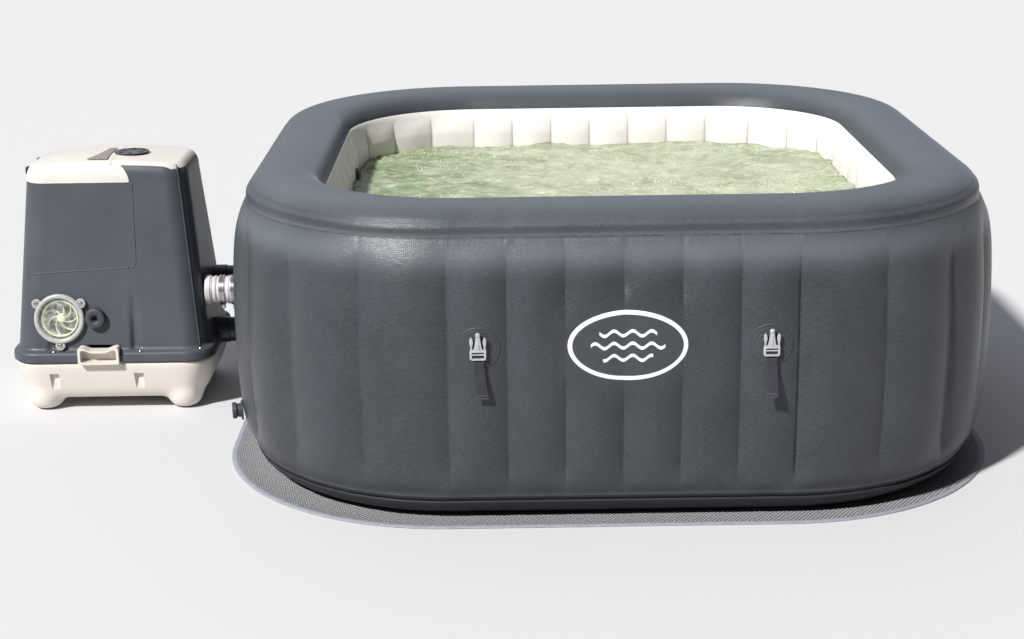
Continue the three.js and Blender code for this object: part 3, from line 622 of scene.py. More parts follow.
scattered = add_node(bubble_tree, "GeometryNodeDistributePointsOnFaces", {
    "Mesh": given.outputs["Geometry"], "Selection": on_top.outputs[0], "Density": amount.outputs[0], "Seed": 4,
})
ball = add_node(bubble_tree, "GeometryNodeMeshIcoSphere", {"Radius": 1.0, "Subdivisions": 1})
size = add_node(bubble_tree, "FunctionNodeRandomValue", {
    2: given.outputs["Smallest"], 3: given.outputs["Largest"], "Seed": 8,
}, data_type="FLOAT")
placed = add_node(bubble_tree, "GeometryNodeInstanceOnPoints", {
    "Points": scattered.outputs["Points"], "Instance": ball.outputs["Mesh"], "Scale": size.outputs[1],
})
solid = add_node(bubble_tree, "GeometryNodeRealizeInstances", {"Geometry": placed.outputs[0]})
painted = add_node(bubble_tree, "GeometryNodeSetMaterial", {
    "Geometry": solid.outputs[0], "Material": given.outputs["Bubble look"],
})
add_node(bubble_tree, "NodeGroupOutput", {"Geometry": painted.outputs[0]})


def grown_by(tree, base, name, material, **inputs):
    """Runs a geometry tree on a copy of base and keeps the result as a plain mesh piece."""
    source = base.copy()
    source.data = base.data.copy()
    scene.collection.objects.link(source)
    modifier = source.modifiers.new("grow", "NODES")
    modifier.node_group = tree
    for item in tree.interface.items_tree:
        if item.in_out == "INPUT" and item.socket_type == "NodeSocketMaterial":
            modifier[item.identifier] = material
        elif item.in_out == "INPUT" and item.name in inputs:
            modifier[item.identifier] = inputs[item.name]
    evaluated = source.evaluated_get(bpy.context.evaluated_depsgraph_get())
    mesh = bpy.data.meshes.new_from_object(evaluated)
    bpy.data.objects.remove(source)
    mesh.name = name
    made = bpy.data.objects.new(name, mesh)
    scene.collection.objects.link(made)
    return made


# Thin bubble film full of light: nearly white, glossy
bubble_look, tree, shader = start_material("bubble_film", Roughness=0.12, IOR=1.33)
coords = add_node(tree, "ShaderNodeTexCoord")
milk = add_node(tree, "ShaderNodeTexNoise", {"Vector": coords.outputs["Object"], "Scale": 60.0})
tint = add_node(tree, "ShaderNodeMix", {
    "Factor": milk.outputs["Fac"], 6: linear("#d5dec6"), 7: linear("#fbfbf5"),
}, data_type="RGBA")
tree.links.new(tint.outputs[2], shader.inputs["Base Color"])
bubbles = grown_by(bubble_tree, water, "froth", bubble_look)
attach(bubbles, "tub")


# ---- badge ----
# An oval patch of the same coated fabric, screen printed and welded to the front wall:
# a white border, a charcoal field and three plain wave lines.

def wall_face(x, z, stands=0.0):
    """y of the front wall's fabric at x and z, for a piece that stands that far off it."""
    t = (np.asarray(x, float) + FLAT) / PANEL
    half = np.interp(z, wall_z[outer_side], wall_half[outer_side])
    ties = np.interp(z, wall_z[outer_side], tie[outer_side])
    return -(half - wall_drop(t, t % 1, z, ties)) - stands


def welded_patch(name, centre_x, centre_z, half_x, half_z, shape, material, behind=False):
    """A thin patch that follows the wall; shape lists (share of the half size, height off the fabric)."""
    angle = np.linspace(0, 2 * math.pi, 96, endpoint=False)
    rings = []
    for share, stands in [(0.02, -0.002), (1.0, -0.002)] + shape:
        x = centre_x + half_x * share * np.cos(angle)
        z = centre_z + half_z * share * np.sin(angle)
        rings.append(np.stack([x, wall_face(x, z, stands), z], axis=-1))
    rings = np.array(rings)
    if behind:
        rings[:, :, :2] *= -1
    return loft(name, rings, material)


# Printed coated fabric: flat inks with a faint weave and a satin lacquer
badge_print, tree, shader = start_material("printed_coated_fabric", Roughness=0.42)
coords = add_node(tree, "ShaderNodeTexCoord")
place = add_node(tree, "ShaderNodeSeparateXYZ", {0: coords.outputs["Object"]})
BORDER = 0.0095
inner = []
for output, centre, half in (("X", badge_centre.x, BADGE_HALF[0] - BORDER),
                             ("Z", badge_centre.z, BADGE_HALF[1] - BORDER)):
    away = add_node(tree, "ShaderNodeMath", {0: place.outputs[output], 1: centre}, operation="SUBTRACT")
    share = add_node(tree, "ShaderNodeMath", {0: away.outputs[0], 1: half}, operation="DIVIDE")
    inner.append(add_node(tree, "ShaderNodeMath", {0: share.outputs[0], 1: 2.0}, operation="POWER"))
reach = add_node(tree, "ShaderNodeMath", {0: inner[0].outputs[0], 1: inner[1].outputs[0]}, operation="ADD")
white = add_node(tree, "ShaderNodeMapRange", {"Value": reach.outputs[0], "From Min": 0.985, "From Max": 1.015})
for height, length in ((0.027, 0.060), (0.000, 0.078), (-0.027, 0.052)):
    away = add_node(tree, "ShaderNodeMath", {0: place.outputs["X"], 1: badge_centre.x}, operation="SUBTRACT")
    phase = add_node(tree, "ShaderNodeMath", {0: away.outputs[0], 1: 2 * math.pi / 0.040}, operation="MULTIPLY")
    swing = add_node(tree, "ShaderNodeMath", {0: phase.outputs[0]}, operation="SINE")
    crest = add_node(tree, "ShaderNodeMath", {0: swing.outputs[0], 1: 0.0055, 2: badge_centre.z + height},
                     operation="MULTIPLY_ADD")
    off = add_node(tree, "ShaderNodeMath", {0: place.outputs["Z"], 1: crest.outputs[0]}, operation="SUBTRACT")
    off = add_node(tree, "ShaderNodeMath", {0: off.outputs[0]}, operation="ABSOLUTE")
    line = add_node(tree, "ShaderNodeMapRange", {
        "Value": off.outputs[0], "From Min": 0.0030, "From Max": 0.0042, "To Min": 1.0, "To Max": 0.0,
    })
    far = add_node(tree, "ShaderNodeMath", {0: away.outputs[0]}, operation="ABSOLUTE")
    within = add_node(tree, "ShaderNodeMapRange", {
        "Value": far.outputs[0], "From Min": length, "From Max": length + 0.002, "To Min": 1.0, "To Max": 0.0,
    })
    drawn = add_node(tree, "ShaderNodeMath", {0: line.outputs[0], 1: within.outputs[0]}, operation="MULTIPLY")
    white = add_node(tree, "ShaderNodeMath", {0: white.outputs[0], 1: drawn.outputs[0]}, operation="MAXIMUM")
ink = add_node(tree, "ShaderNodeTexNoise", {"Vector": coords.outputs["Object"], "Scale": 240.0, "Detail": 3.0})
field = add_node(tree, "ShaderNodeMix", {
    "Factor": ink.outputs["Fac"], 6: linear("#31363a"), 7: linear("#40464a"),
}, data_type="RGBA")
border = add_node(tree, "ShaderNodeMix", {
    "Factor": ink.outputs["Fac"], 6: linear("#e6e5e3"), 7: linear("#fbfaf8"),
}, data_type="RGBA")
painted = add_node(tree, "ShaderNodeMix", {
    "Factor": white.outputs[0], 6: field.outputs[2], 7: border.outputs[2],
}, data_type="RGBA")
bump = add_node(tree, "ShaderNodeBump", {"Height": ink.outputs["Fac"], "Strength": 0.15, "Distance": 0.0004})
tree.links.new(painted.outputs[2], shader.inputs["Base Color"])
tree.links.new(bump.outputs[0], shader.inputs["Normal"])

badge_shape = [(1.0, 0.0003), (0.994, 0.0010), (0.975, 0.0013), (0.94, 0.0010), (0.90, 0.0012)]
badge_shape += [(share, 0.0013) for share in (0.8, 0.7, 0.6, 0.5, 0.4, 0.3, 0.2, 0.1, 0.02)]
badge = welded_patch("badge_oval", badge_centre.x, badge_centre.z, *BADGE_HALF, badge_shape, badge_print)
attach(badge, "tub")
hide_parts("badge_patch")


# ---- cover straps ----
# Four clips hold the cover down. Each hangs by webbing from a round patch that is
# welded to the wall with three rings; the clip is moulded acetal, the tail is nylon webbing.

STRAP_X = 0.312
STRAP_Z = 0.413
PATCH_RADIUS = 0.0475
patch_shape = [(1.0, 0.0002), (0.985, 0.0009), (0.965, 0.0014), (0.94, 0.0009), (0.905, 0.0006)]
for ring in (0.80, 0.60, 0.42):
    patch_shape += [(ring + 0.035, 0.0007), (ring, 0.0013), (ring - 0.035, 0.0007)]
patch_shape += [(0.3, 0.0008), (0.18, 0.0008), (0.02, 0.0008)]
WEB_WIDTH = 0.025

# Moulded acetal: mid grey, slightly waxy, fine sparked grain
clip_acetal, tree, shader = start_material("moulded_acetal", Roughness=0.38, Specular_IOR_Level=0.5)
coords = add_node(tree, "ShaderNodeTexCoord")
grain = add_node(tree, "ShaderNodeTexNoise", {
    "Vector": coords.outputs["Object"], "Scale": 1500.0, "Detail": 2.0,
})
clouds = add_node(tree, "ShaderNodeTexNoise", {
    "Vector": coords.outputs["Object"], "Scale": 60.0, "Detail": 2.0,
})
tint = add_node(tree, "ShaderNodeMix", {
    "Factor": clouds.outputs["Fac"], 6: linear("#949498"), 7: linear("#bbbbbf"),
}, data_type="RGBA")
soft_edge = add_node(tree, "ShaderNodeBevel", {"Radius": 0.0006})
bump = add_node(tree, "ShaderNodeBump", {
    "Height": grain.outputs["Fac"], "Strength": 0.1, "Distance": 0.0003, "Normal": soft_edge.outputs[0],
})
tree.links.new(tint.outputs[2], shader.inputs["Base Color"])
tree.links.new(bump.outputs[0], shader.inputs["Normal"])

# Nylon webbing: a slanting twill 2.2 mm apart and a pale fleck where the yarn has fluffed
webbing, tree, shader = start_material("nylon_webbing", Roughness=0.8, Specular_IOR_Level=0.35)
shader.inputs["Sheen Weight"].default_value = 0.25
coords = add_node(tree, "ShaderNodeTexCoord")
turned = add_node(tree, "ShaderNodeMapping", {
    "Vector": coords.outputs["Object"], "Rotation": (math.pi / 2, 0, 0),
})
twill = add_node(tree, "ShaderNodeTexWave", {
    "Vector": turned.outputs[0], "Scale": 0.314 / 0.0022, "Distortion": 1.2, "Detail": 2.0,
}, bands_direction="DIAGONAL")
fluff = add_node(tree, "ShaderNodeTexNoise", {
    "Vector": coords.outputs["Object"], "Scale": 900.0, "Detail": 2.0,
})
mixed = add_node(tree, "ShaderNodeMath", {
    0: twill.outputs["Fac"], 1: fluff.outputs["Fac"],
}, operation="MULTIPLY")
tint = add_node(tree, "ShaderNodeMix", {"Factor": mixed.outputs[0], 6: linear("#1e1d25"), 7: linear("#4b4955")},
                data_type="RGBA")
bump = add_node(tree, "ShaderNodeBump", {"Height": twill.outputs["Fac"], "Strength": 0.5, "Distance": 0.0005})
tree.links.new(tint.outputs[2], shader.inputs["Base Color"])
tree.links.new(bump.outputs[0], shader.inputs["Normal"])

# Bonded polyester thread, mid grey
thread, tree, shader = start_material("sewing_thread", Roughness=0.75)
coords = add_node(tree, "ShaderNodeTexCoord")
ply = add_node(tree, "ShaderNodeTexNoise", {"Vector": coords.outputs["Object"], "Scale": 1200.0})
tint = add_node(tree, "ShaderNodeMix", {
    "Factor": ply.outputs["Fac"], 6: linear("#5e5c66"), 7: linear("#8c8a94"),
}, data_type="RGBA")
tree.links.new(tint.outputs[2], shader.inputs["Base Color"])


def mirrored(half):
    """A closed outline from its right half, listed from the bottom middle to the top middle."""
    return half + [(-x, z) for x, z in reversed(half) if x > 0]


def moulded_plate(outline, holes, thickness, rounding):
    """A flat moulded shape with rounded edges from outlines in x and z, in metres; it lies on y = 0."""
    curve = bpy.data.curves.new("outline", "CURVE")
    curve.dimensions = "2D"
    curve.fill_mode = "BOTH"
    curve.extrude = thickness / 2 - rounding
    curve.bevel_depth = rounding
    curve.bevel_resolution = 2
    curve.offset = -rounding
    for points in [outline] + holes:
        spline = curve.splines.new("POLY")
        spline.points.add(len(points) - 1)
        for point, (x, z) in zip(spline.points, points):
            point.co = (x, z, 0, 1)
        spline.use_cyclic_u = True
    holder = bpy.data.objects.new("outline", curve)
    scene.collection.objects.link(holder)
    mesh = bpy.data.meshes.new_from_object(holder.evaluated_get(bpy.context.evaluated_depsgraph_get()))
    bpy.data.objects.remove(holder)
    mesh.transform(Matrix.Rotation(math.pi / 2, 4, "X"))
    return mesh


def joined(name, meshes, material, smooth_angle=40):
    """One piece from several meshes, with its flat and curved faces shaded as such."""
    whole = bmesh.new()
    for mesh in meshes:
        whole.from_mesh(mesh)
        bpy.data.meshes.remove(mesh)
    bmesh.ops.remove_doubles(whole, verts=whole.verts, dist=1e-6)
    mesh = bpy.data.meshes.new(name)
    whole.to_mesh(mesh)
    whole.free()
    mesh.materials.clear()
    mesh.materials.append(material)
    for face in mesh.polygons:
        face.material_index = 0
    mesh.shade_smooth()
    mesh.set_sharp_from_angle(angle=math.radians(smooth_angle))
    made = bpy.data.objects.new(name, mesh)
    scene.collection.objects.link(made)
    return made


def turned_mesh(profile, steps=48):
    """A closed turned shape round Z from (radius, height) points, listed from the bottom up."""
    shape = bmesh.new()
    angle = np.linspace(0, 2 * math.pi, steps, endpoint=False)
    rings = [[shape.verts.new((r * math.cos(a), r * math.sin(a), h)) for a in angle] for r, h in profile]
    for low, high in zip(rings[:-1], rings[1:]):
        for i in range(steps):
            j = (i + 1) % steps
            shape.faces.new((low[i], low[j], high[j], high[i]))
    shape.faces.new(list(reversed(rings[0])))
    shape.faces.new(rings[-1])
    mesh = bpy.data.meshes.new("turned")
    shape.to_mesh(mesh)
    shape.free()
    return mesh


CLIP_HALF = [
    (0, 0), (12, 0), (15.5, 1), (17.5, 4), (18, 9), (18, 19.5), (17.0, 22.5), (16.2, 27), (16.4, 31), (17.6, 36),
    (18, 42), (17.2, 48), (14.8, 51), (12.6, 50), (10.6, 44), (10.2, 38), (11.5, 33), (12.4, 28), (12.2, 24.6),
    (10.7, 23.6), (9.3, 25), (8.2, 28), (6.4, 37), (5.2, 46), (4.8, 50), (4.8, 58), (3.5, 60.5), (0, 61),
]
LADDER_HALF = [(0, 0.3), (11.5, 0.3), (15, 1.4), (16.9, 4.2), (17.3, 9), (17.3, 18.6), (16, 20.6), (0, 20.6)]
SLOTS = [[(-12.6, 4.6), (12.6, 4.6), (12.6, 11.8), (-12.6, 11.8)],
         [(-12.6, 14.4), (12.6, 14.4), (12.6, 18.0), (-12.6, 18.0)]]


def millimetres(points):
    return [(x * 0.001, z * 0.001) for x, z in points]


def strap_strip(name, path, width, thickness, material):
    """A strip of webbing along points (x, y, z), its width across x, with rounded selvedges."""
    path = np.asarray(path, float)
    run = np.gradient(path, axis=0)
    run /= np.linalg.norm(run, axis=1)[:, None]
    rings = []
    for point, along, half in zip(path, run, np.broadcast_to(thickness, len(path)) / 2):
        across = np.cross((0.0, 1.0, 0.0), along)
        across /= np.linalg.norm(across)
        out = np.cross(along, across)
        edge = [(-1, -0.2), (-0.97, -0.8), (-0.9, -1), (0, -1), (0.9, -1), (0.97, -0.8), (1, -0.2),
                (1, 0.2), (0.97, 0.8), (0.9, 1), (0, 1), (-0.9, 1), (-0.97, 0.8), (-1, 0.2)]
        rings.append([point + across * width / 2 * a + out * half * b for a, b in edge])
    return loft(name, rings, material)


# Row of stitches along the edges of a mesh: short rounded lengths of thread
stitch_tree = bpy.data.node_groups.new("stitches", "GeometryNodeTree")
stitch_tree.interface.new_socket("Geometry", in_out="INPUT", socket_type="NodeSocketGeometry")
for label, value in (("Stitch pitch", 0.0034), ("Stitch length", 0.0024), ("Thread radius", 0.00045)):
    stitch_tree.interface.new_socket(label, in_out="INPUT", socket_type="NodeSocketFloat").default_value = value
stitch_tree.interface.new_socket("Thread look", in_out="INPUT", socket_type="NodeSocketMaterial")
stitch_tree.interface.new_socket("Geometry", in_out="OUTPUT", socket_type="NodeSocketGeometry")
given = add_node(stitch_tree, "NodeGroupInput")
seam = add_node(stitch_tree, "GeometryNodeMeshToCurve", {"Mesh": given.outputs["Geometry"]})
spaced = add_node(stitch_tree, "GeometryNodeResampleCurve", {
    "Curve": seam.outputs[0], "Length": given.outputs["Stitch pitch"],
}, mode="LENGTH")
heading = add_node(stitch_tree, "GeometryNodeInputTangent")
turn = add_node(stitch_tree, "FunctionNodeAlignRotationToVector", {"Vector": heading.outputs[0]}, axis="Z")
rod = add_node(stitch_tree, "GeometryNodeMeshCylinder", {
    "Vertices": 6, "Radius": given.outputs["Thread radius"], "Depth": given.outputs["Stitch length"],
})
placed = add_node(stitch_tree, "GeometryNodeInstanceOnPoints", {
    "Points": spaced.outputs[0], "Instance": rod.outputs["Mesh"], "Rotation": turn.outputs[0],
})
solid = add_node(stitch_tree, "GeometryNodeRealizeInstances", {"Geometry": placed.outputs[0]})
painted = add_node(stitch_tree, "GeometryNodeSetMaterial", {
    "Geometry": solid.outputs[0], "Material": given.outputs["Thread look"],
})
add_node(stitch_tree, "NodeGroupOutput", {"Geometry": painted.outputs[0]})


def stitched(name, lines, material, closed=False, **sizes):
    """Stitches along lines of points in metres."""
    vertices, edges = [], []
    for line in lines:
        first = len(vertices)
        vertices += [tuple(p) for p in line]
        edges += [(first + i, first + i + 1) for i in range(len(line) - 1)]
        if closed:
            edges.append((len(vertices) - 1, first))
    mesh = bpy.data.meshes.new("seam_line")
    mesh.from_pydata(vertices, edges, [])
    guide = bpy.data.objects.new("seam_line", mesh)
    made = grown_by(stitch_tree, guide, name, material, **sizes)
    bpy.data.objects.remove(guide)
    return made


# Each tail hangs its own way: (lean to one side, how far its end stands off the wall)
TAILS = {"front_left": (0.010, 0.003), "front_right": (0.001, 0.020),
         "back_left": (-0.006, 0.010), "back_right": (0.004, 0.014)}
for label, (lean, flare) in TAILS.items():
    behind = label.startswith("back")
    x = -STRAP_X if label.endswith("left") else STRAP_X
    if behind:
        x = -(-STRAP_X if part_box("back_left_clip")[0][0] < 0 else STRAP_X) * (1 if label == "back_left" else -1)
    turn = Matrix.Rotation(math.pi, 4, "Z") if behind else Matrix.Identity(4)
    patch = welded_patch(f"{label}_strap_patch", x, STRAP_Z, PATCH_RADIUS, PATCH_RADIUS, patch_shape, skin_fabric,
                         behind)
    write_weld_and_highlight(patch, np.zeros(len(patch.data.vertices)))
    patch_points = np.array([tuple(v.co) for v in patch.data.vertices])
    set_uv(patch, patch_points[:, 0], patch_points[:, 2])
    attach(patch, "tub")
    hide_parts(f"{label}_patch")

    clip_foot = Matrix.Translation((x, -0.9078, 0.3903))
    body = moulded_plate(millimetres(mirrored(CLIP_HALF)), [millimetres(hole) for hole in SLOTS], 0.0044, 0.0008)
    ladder = moulded_plate(millimetres(mirrored(LADDER_HALF)), [millimetres(hole) for hole in SLOTS],
                           0.0066, 0.0009)
    knob = turned_mesh([(0.0046, -0.003), (0.0054, -0.0015), (0.0056, 0), (0.0052, 0.0018), (0.0038, 0.0030),
                        (0.0016, 0.0035)], 24)
    knob.transform(Matrix.Translation((0, 0, 0.0555)) @ Matrix.Rotation(math.pi / 2, 4, "X"))
    ridge = moulded_plate(millimetres(mirrored([(0, 24), (3.2, 25), (2.4, 40), (1.6, 48), (0, 48.5)])), [],
                          0.0064, 0.001)
    meshes = [body, ladder, knob, ridge]
    for mesh in meshes:
        mesh.transform(turn @ clip_foot)
    clip = joined(f"{label}_side_clip", meshes, clip_acetal)
    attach(clip, f"{label}_clip")
    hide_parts(f"{label}_clip")

    s = np.linspace(0, 1, 14)
    path = [(x, -0.9052 - 0.0024 * math.sin(math.pi * a) ** 2, 0.4105 - 0.0210 * a) for a in s]
    loop = strap_strip(f"{label}_strap_loop", path, WEB_WIDTH - 0.001, 0.0015, webbing)
    loop.data.transform(turn)
    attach(loop, f"{label}_clip")

    s = np.linspace(0, 1, 34)
    path = np.stack([x + lean * s ** 1.4, -0.9081 - flare * s ** 1.5 + 0.0012 * np.sin(7 * s), 0.3862 - 0.0835 * s],
                    axis=-1)
    hem = 0.0015 + 0.0013 * rise(s, 0.845, 0.865)
    tail = strap_strip(f"{label}_strap_tail", path, WEB_WIDTH, hem, webbing)
    tail.data.transform(turn)
    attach(tail, f"{label}_tail")
    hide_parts(f"{label}_tail")
    lines = []
    for share in (0.885, 0.965):
        at = [np.interp(share, s, path[:, i]) for i in range(3)]
        lines.append([(at[0] + side * (WEB_WIDTH / 2 - 0.002), at[1] - 0.0016, at[2]) for side in (-1, 0, 1)])
    sewn = stitched(f"{label}_tail_stitches", lines, thread)
    sewn.data.transform(turn)
    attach(sewn, f"{label}_tail")

edge_x, edge_y = around(np.arange(0, ALL_PANELS, 0.25), mat_span / 2 - TAPE_WIDTH + 0.004)
seam_line = [(x + mat_centre.x, y + mat_centre.y, MAT_TOP + 0.0001) for x, y in zip(edge_x, edge_y)]
mat_sewing = stitched("mat_stitches", [seam_line], thread, closed=True,
                      **{"Stitch pitch": 0.0065, "Stitch length": 0.0045, "Thread radius": 0.0007})
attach(mat_sewing, "tub")


# ---- pump cover, filter lid and top cap ----
# Three injection moulded ABS shells that share one tapered outline: the slate cover, the
# white filter lid at the front left and the white cap that carries the control panel.

PUMP = Vector((-1.280, 0.120, 0.0))
COVER_LEVELS = np.array([
    # z, half width, front, back, corner radius
    (0.1410, 0.2630, -0.2070, 0.2070, 0.071), (0.1418, 0.2640, -0.2080, 0.2080, 0.072),
    (0.1570, 0.2640, -0.2080, 0.2080, 0.072), (0.1625, 0.2626, -0.2066, 0.2066, 0.071),
    (0.1655, 0.2600, -0.2040, 0.2040, 0.068), (0.1672, 0.2556, -0.1985, 0.1985, 0.065),
    (0.1700, 0.2516, -0.1930, 0.1930, 0.063), (0.1750, 0.2498, -0.1900, 0.1900, 0.062),
    (0.6000, 0.2100, -0.1250, 0.1500, 0.058),
])
COVER_TOP = 0.652
SHOULDER = 0.600
CROWN = 0.027
TOP_CROWN = 0.011
FRONT_LEAN = 0.15
LID_RIGHT = 0.018
LID_BOTTOM = 0.598
LID_FRONT_RIGHT = 0.065
LID_FRONT = -0.114
CAP_BOTTOM = 0.628
CREASES = ((-0.154, 0.232, 0.0080), (0.062, 0.345, 0.0100))


def rounded_ring(level, long_steps=118, side_steps=36, corner_steps=12):
    """Points round a corner-rounded rectangle, the front edge first and closely spaced."""
    z, half_x, front, back, radius = level
    corners = ((half_x - radius, front + radius, -90), (half_x - radius, back - radius, 0),
               (-half_x + radius, back - radius, 90), (-half_x + radius, front + radius, 180))
    points = []
    counts = (side_steps, long_steps // 2, side_steps, long_steps)
    for i, (cx, cy, start) in enumerate(corners):
        arc = np.radians(start + np.linspace(0, 90, corner_steps + 1))
        arc_points = np.stack([cx + radius * np.cos(arc), cy + radius * np.sin(arc)], axis=-1)
        nx, ny, begin = corners[(i + 1) % 4]
        begin = math.radians(begin)
        target = np.array([nx + radius * math.cos(begin), ny + radius * math.sin(begin)])
        share = np.linspace(0, 1, counts[i] + 1)[1:-1, None]
        points += [arc_points, arc_points[-1] + (target - arc_points[-1]) * share]
    points = np.vstack(points)
    return np.column_stack([points, np.full(len(points), z)])


def cover_level(z, inset=0.0):
    """The cover's level at a height, rounded over above the shoulder and drawn in by the inset."""
    row = np.array([z] + [np.interp(z, COVER_LEVELS[:, 0], COVER_LEVELS[:, i]) for i in range(1, 5)])
    over = max(0.0, (z - SHOULDER) / (COVER_TOP - SHOULDER))
    drawn = CROWN * (1 - math.sqrt(max(0.0, 1 - min(over, 1) ** 2.3))) + inset
    row[1] -= drawn
    row[2] += drawn
    row[3] -= drawn
    row[4] = max(row[4] - 0.75 * drawn, 0.006)
    return row


def creased(ring):
    """Pulls the two upright creases into the front face."""
    x, y, z = ring.T
    front = rise(-y, 0.09, 0.12)
    for centre, top, depth in CREASES:
        fade = 1 - rise(z, 0.165, top)
        body = rise(z, 0.166, 0.172)
        y = y + front * body * depth * fade * np.exp(-((x - centre) / (0.0075 + 0.004 * (x > centre))) ** 2)
    return np.stack([x, y, z], axis=-1)


def cover_solid(name, wall, low, top_rings):
    """The cover's outline as one closed solid, drawn in by the wall thickness."""
    heights = [z for z in COVER_LEVELS[:-1, 0] if z > low] if wall == 0 else [low, 0.2]
    heights = list(heights) + list(np.arange(0.178, SHOULDER, 0.0045 if wall == 0 else 0.02))
    heights += list(SHOULDER + (COVER_TOP - wall - SHOULDER) * np.sin(np.linspace(0, math.pi / 2, 18)))
    heights = sorted(set(round(z, 6) for z in heights))
    rings = []
    for z in heights:
        inset = wall
        level = cover_level(min(z + wall, COVER_TOP) if z > SHOULDER else z, inset)
        level[0] = z
        rings.append(creased(rounded_ring(level)))
    last = rings[-1]
    for share in top_rings:
        middle = last.mean(axis=0)
        rings.append(middle + (last - middle) * share)
    rings = np.array(rings)
    above = np.clip((rings[:, :, 2] - SHOULDER) / (COVER_TOP - SHOULDER), 0, 1)
    rings[:, :, 2] -= TOP_CROWN * above * np.minimum(
        (rings[:, :, 0] / 0.2) ** 2 + (rings[:, :, 1] / 0.25) ** 2, 1.3)
    rings[:, :, 0] += PUMP.x
    rings[:, :, 1] += PUMP.y
    return loft(name, rings, None)


def prism(outline, start, end, axis):
    """A straight-sided cutter: outline points in the plane across the axis, from start to end along it."""
    shape = bmesh.new()
    order = {"X": (2, 0, 1), "Y": (0, 2, 1), "Z": (0, 1, 2)}[axis]
    ends = []
    for along in (start, end):
        ring = []
        for a, b in outline:
            local = (a, b, along)
            ring.append(shape.verts.new(Vector([local[i] for i in order]) + PUMP))
        ends.append(ring)
    for i in range(len(outline)):
        j = (i + 1) % len(outline)
        shape.faces.new((ends[0][i], ends[0][j], ends[1][j], ends[1][i]))
    shape.faces.new(list(reversed(ends[0])))
    shape.faces.new(ends[1])
    bmesh.ops.recalc_face_normals(shape, faces=shape.faces)
    mesh = bpy.data.meshes.new("cutter")
    shape.to_mesh(mesh)
    shape.free()
    cutter = bpy.data.objects.new("cutter", mesh)
    scene.collection.objects.link(cutter)
    return cutter


def combined(name, base, changes, material, smooth_angle=35):
    """Cuts, keeps or adds solids in turn and returns the result as a new piece."""
    current = base.copy()
    current.data = base.data.copy()
    scene.collection.objects.link(current)
    for operation, other in changes:
        modifier = current.modifiers.new(operation, "BOOLEAN")
        modifier.operation = operation
        modifier.solver = "MANIFOLD"
        modifier.object = other
    evaluated = current.evaluated_get(bpy.context.evaluated_depsgraph_get())
    mesh = bpy.data.meshes.new_from_object(evaluated)
    bpy.data.objects.remove(current)
    mesh.name = name
    mesh.materials.clear()
    mesh.materials.append(material)
    for face in mesh.polygons:
        face.material_index = 0
    mesh.shade_smooth()
    mesh.set_sharp_from_angle(angle=math.radians(smooth_angle))
    made = bpy.data.objects.new(name, mesh)
    scene.collection.objects.link(made)
    return made


def circle(x, y, radius, steps=72):
    return [(x + radius * math.cos(a), y + radius * math.sin(a))
            for a in np.linspace(0, 2 * math.pi, steps, endpoint=False)]


def rounded_box(x0, x1, z0, z1, corners):
    """Rectangle as points, with a radius for each corner from the lower left, counter-clockwise."""
    points = []
    spots = ((x0, z0, 1, 1, 180), (x1, z0, -1, 1, 270), (x1, z1, -1, -1, 0), (x0, z1, 1, -1, 90))
    for (x, z, sx, sz, start), radius in zip(spots, corners):
        if radius == 0:
            points.append((x, z))
            continue
        for a in np.radians(start + np.linspace(0, 90, 9)):
            points.append((x + sx * radius + radius * math.cos(a), z + sz * radius + radius * math.sin(a)))
    return points


# Injection moulded ABS: satin, with the fine spark grain of the tool and a slight mottling
def moulded_abs(name, dark, light, roughness, grain_size=0.0011, edge=0.0012, coat=0.0):
    material, tree, shader = start_material(name, Roughness=roughness, Specular_IOR_Level=0.36)
    shader.inputs["Coat Weight"].default_value = coat
    coords = add_node(tree, "ShaderNodeTexCoord")
    grain = add_node(tree, "ShaderNodeTexVoronoi", {
        "Vector": coords.outputs["Object"], "Scale": 1.0 / grain_size,
    })
    clouds = add_node(tree, "ShaderNodeTexNoise", {
        "Vector": coords.outputs["Object"], "Scale": 9.0, "Detail": 6.0,
    })
    tint = add_node(tree, "ShaderNodeMix", {"Factor": clouds.outputs["Fac"], 6: linear(dark), 7: linear(light)},
                    data_type="RGBA")
    soft_edge = add_node(tree, "ShaderNodeBevel", {"Radius": edge})
    bump = add_node(tree, "ShaderNodeBump", {
        "Height": grain.outputs["Distance"], "Strength": 0.12, "Distance": 0.0004, "Normal": soft_edge.outputs[0],
    })
    rub = add_node(tree, "ShaderNodeMapRange", {
        "Value": clouds.outputs["Fac"], "To Min": roughness - 0.06, "To Max": roughness + 0.08,
    })
    tree.links.new(tint.outputs[2], shader.inputs["Base Color"])
    tree.links.new(rub.outputs[0], shader.inputs["Roughness"])
    tree.links.new(bump.outputs[0], shader.inputs["Normal"])
    return material


cover_abs = moulded_abs("moulded_abs_slate", "#40454b", "#4e545b", 0.42)
white_abs = moulded_abs("moulded_abs_white", "#d0cbc3", "#dfdbd3", 0.36)
cream_abs = moulded_abs("moulded_abs_cream", "#d2cac1", "#dfd7cf", 0.42)
black_abs = moulded_abs("moulded_abs_black", "#1b1b1c", "#29292b", 0.40)
dark_abs = moulded_abs("moulded_abs_charcoal", "#33353a", "#42444a", 0.45)

WALL = 0.004
block = cover_solid("cover_block", 0.0, 0.0, (0.92, 0.8, 0.6, 0.3, 0.1))
hollow = cover_solid("cover_hollow", WALL, 0.12, (0.8, 0.3))
shell = combined("cover_shell", block, [("DIFFERENCE", hollow)], None)

GAP = 0.0008
lid_side = [(-0.30, LID_BOTTOM), (LID_RIGHT, LID_BOTTOM), (LID_RIGHT, 0.70), (-0.30, 0.70)]
lid_main = prism(lid_side, -0.30, 0.30, "Y")


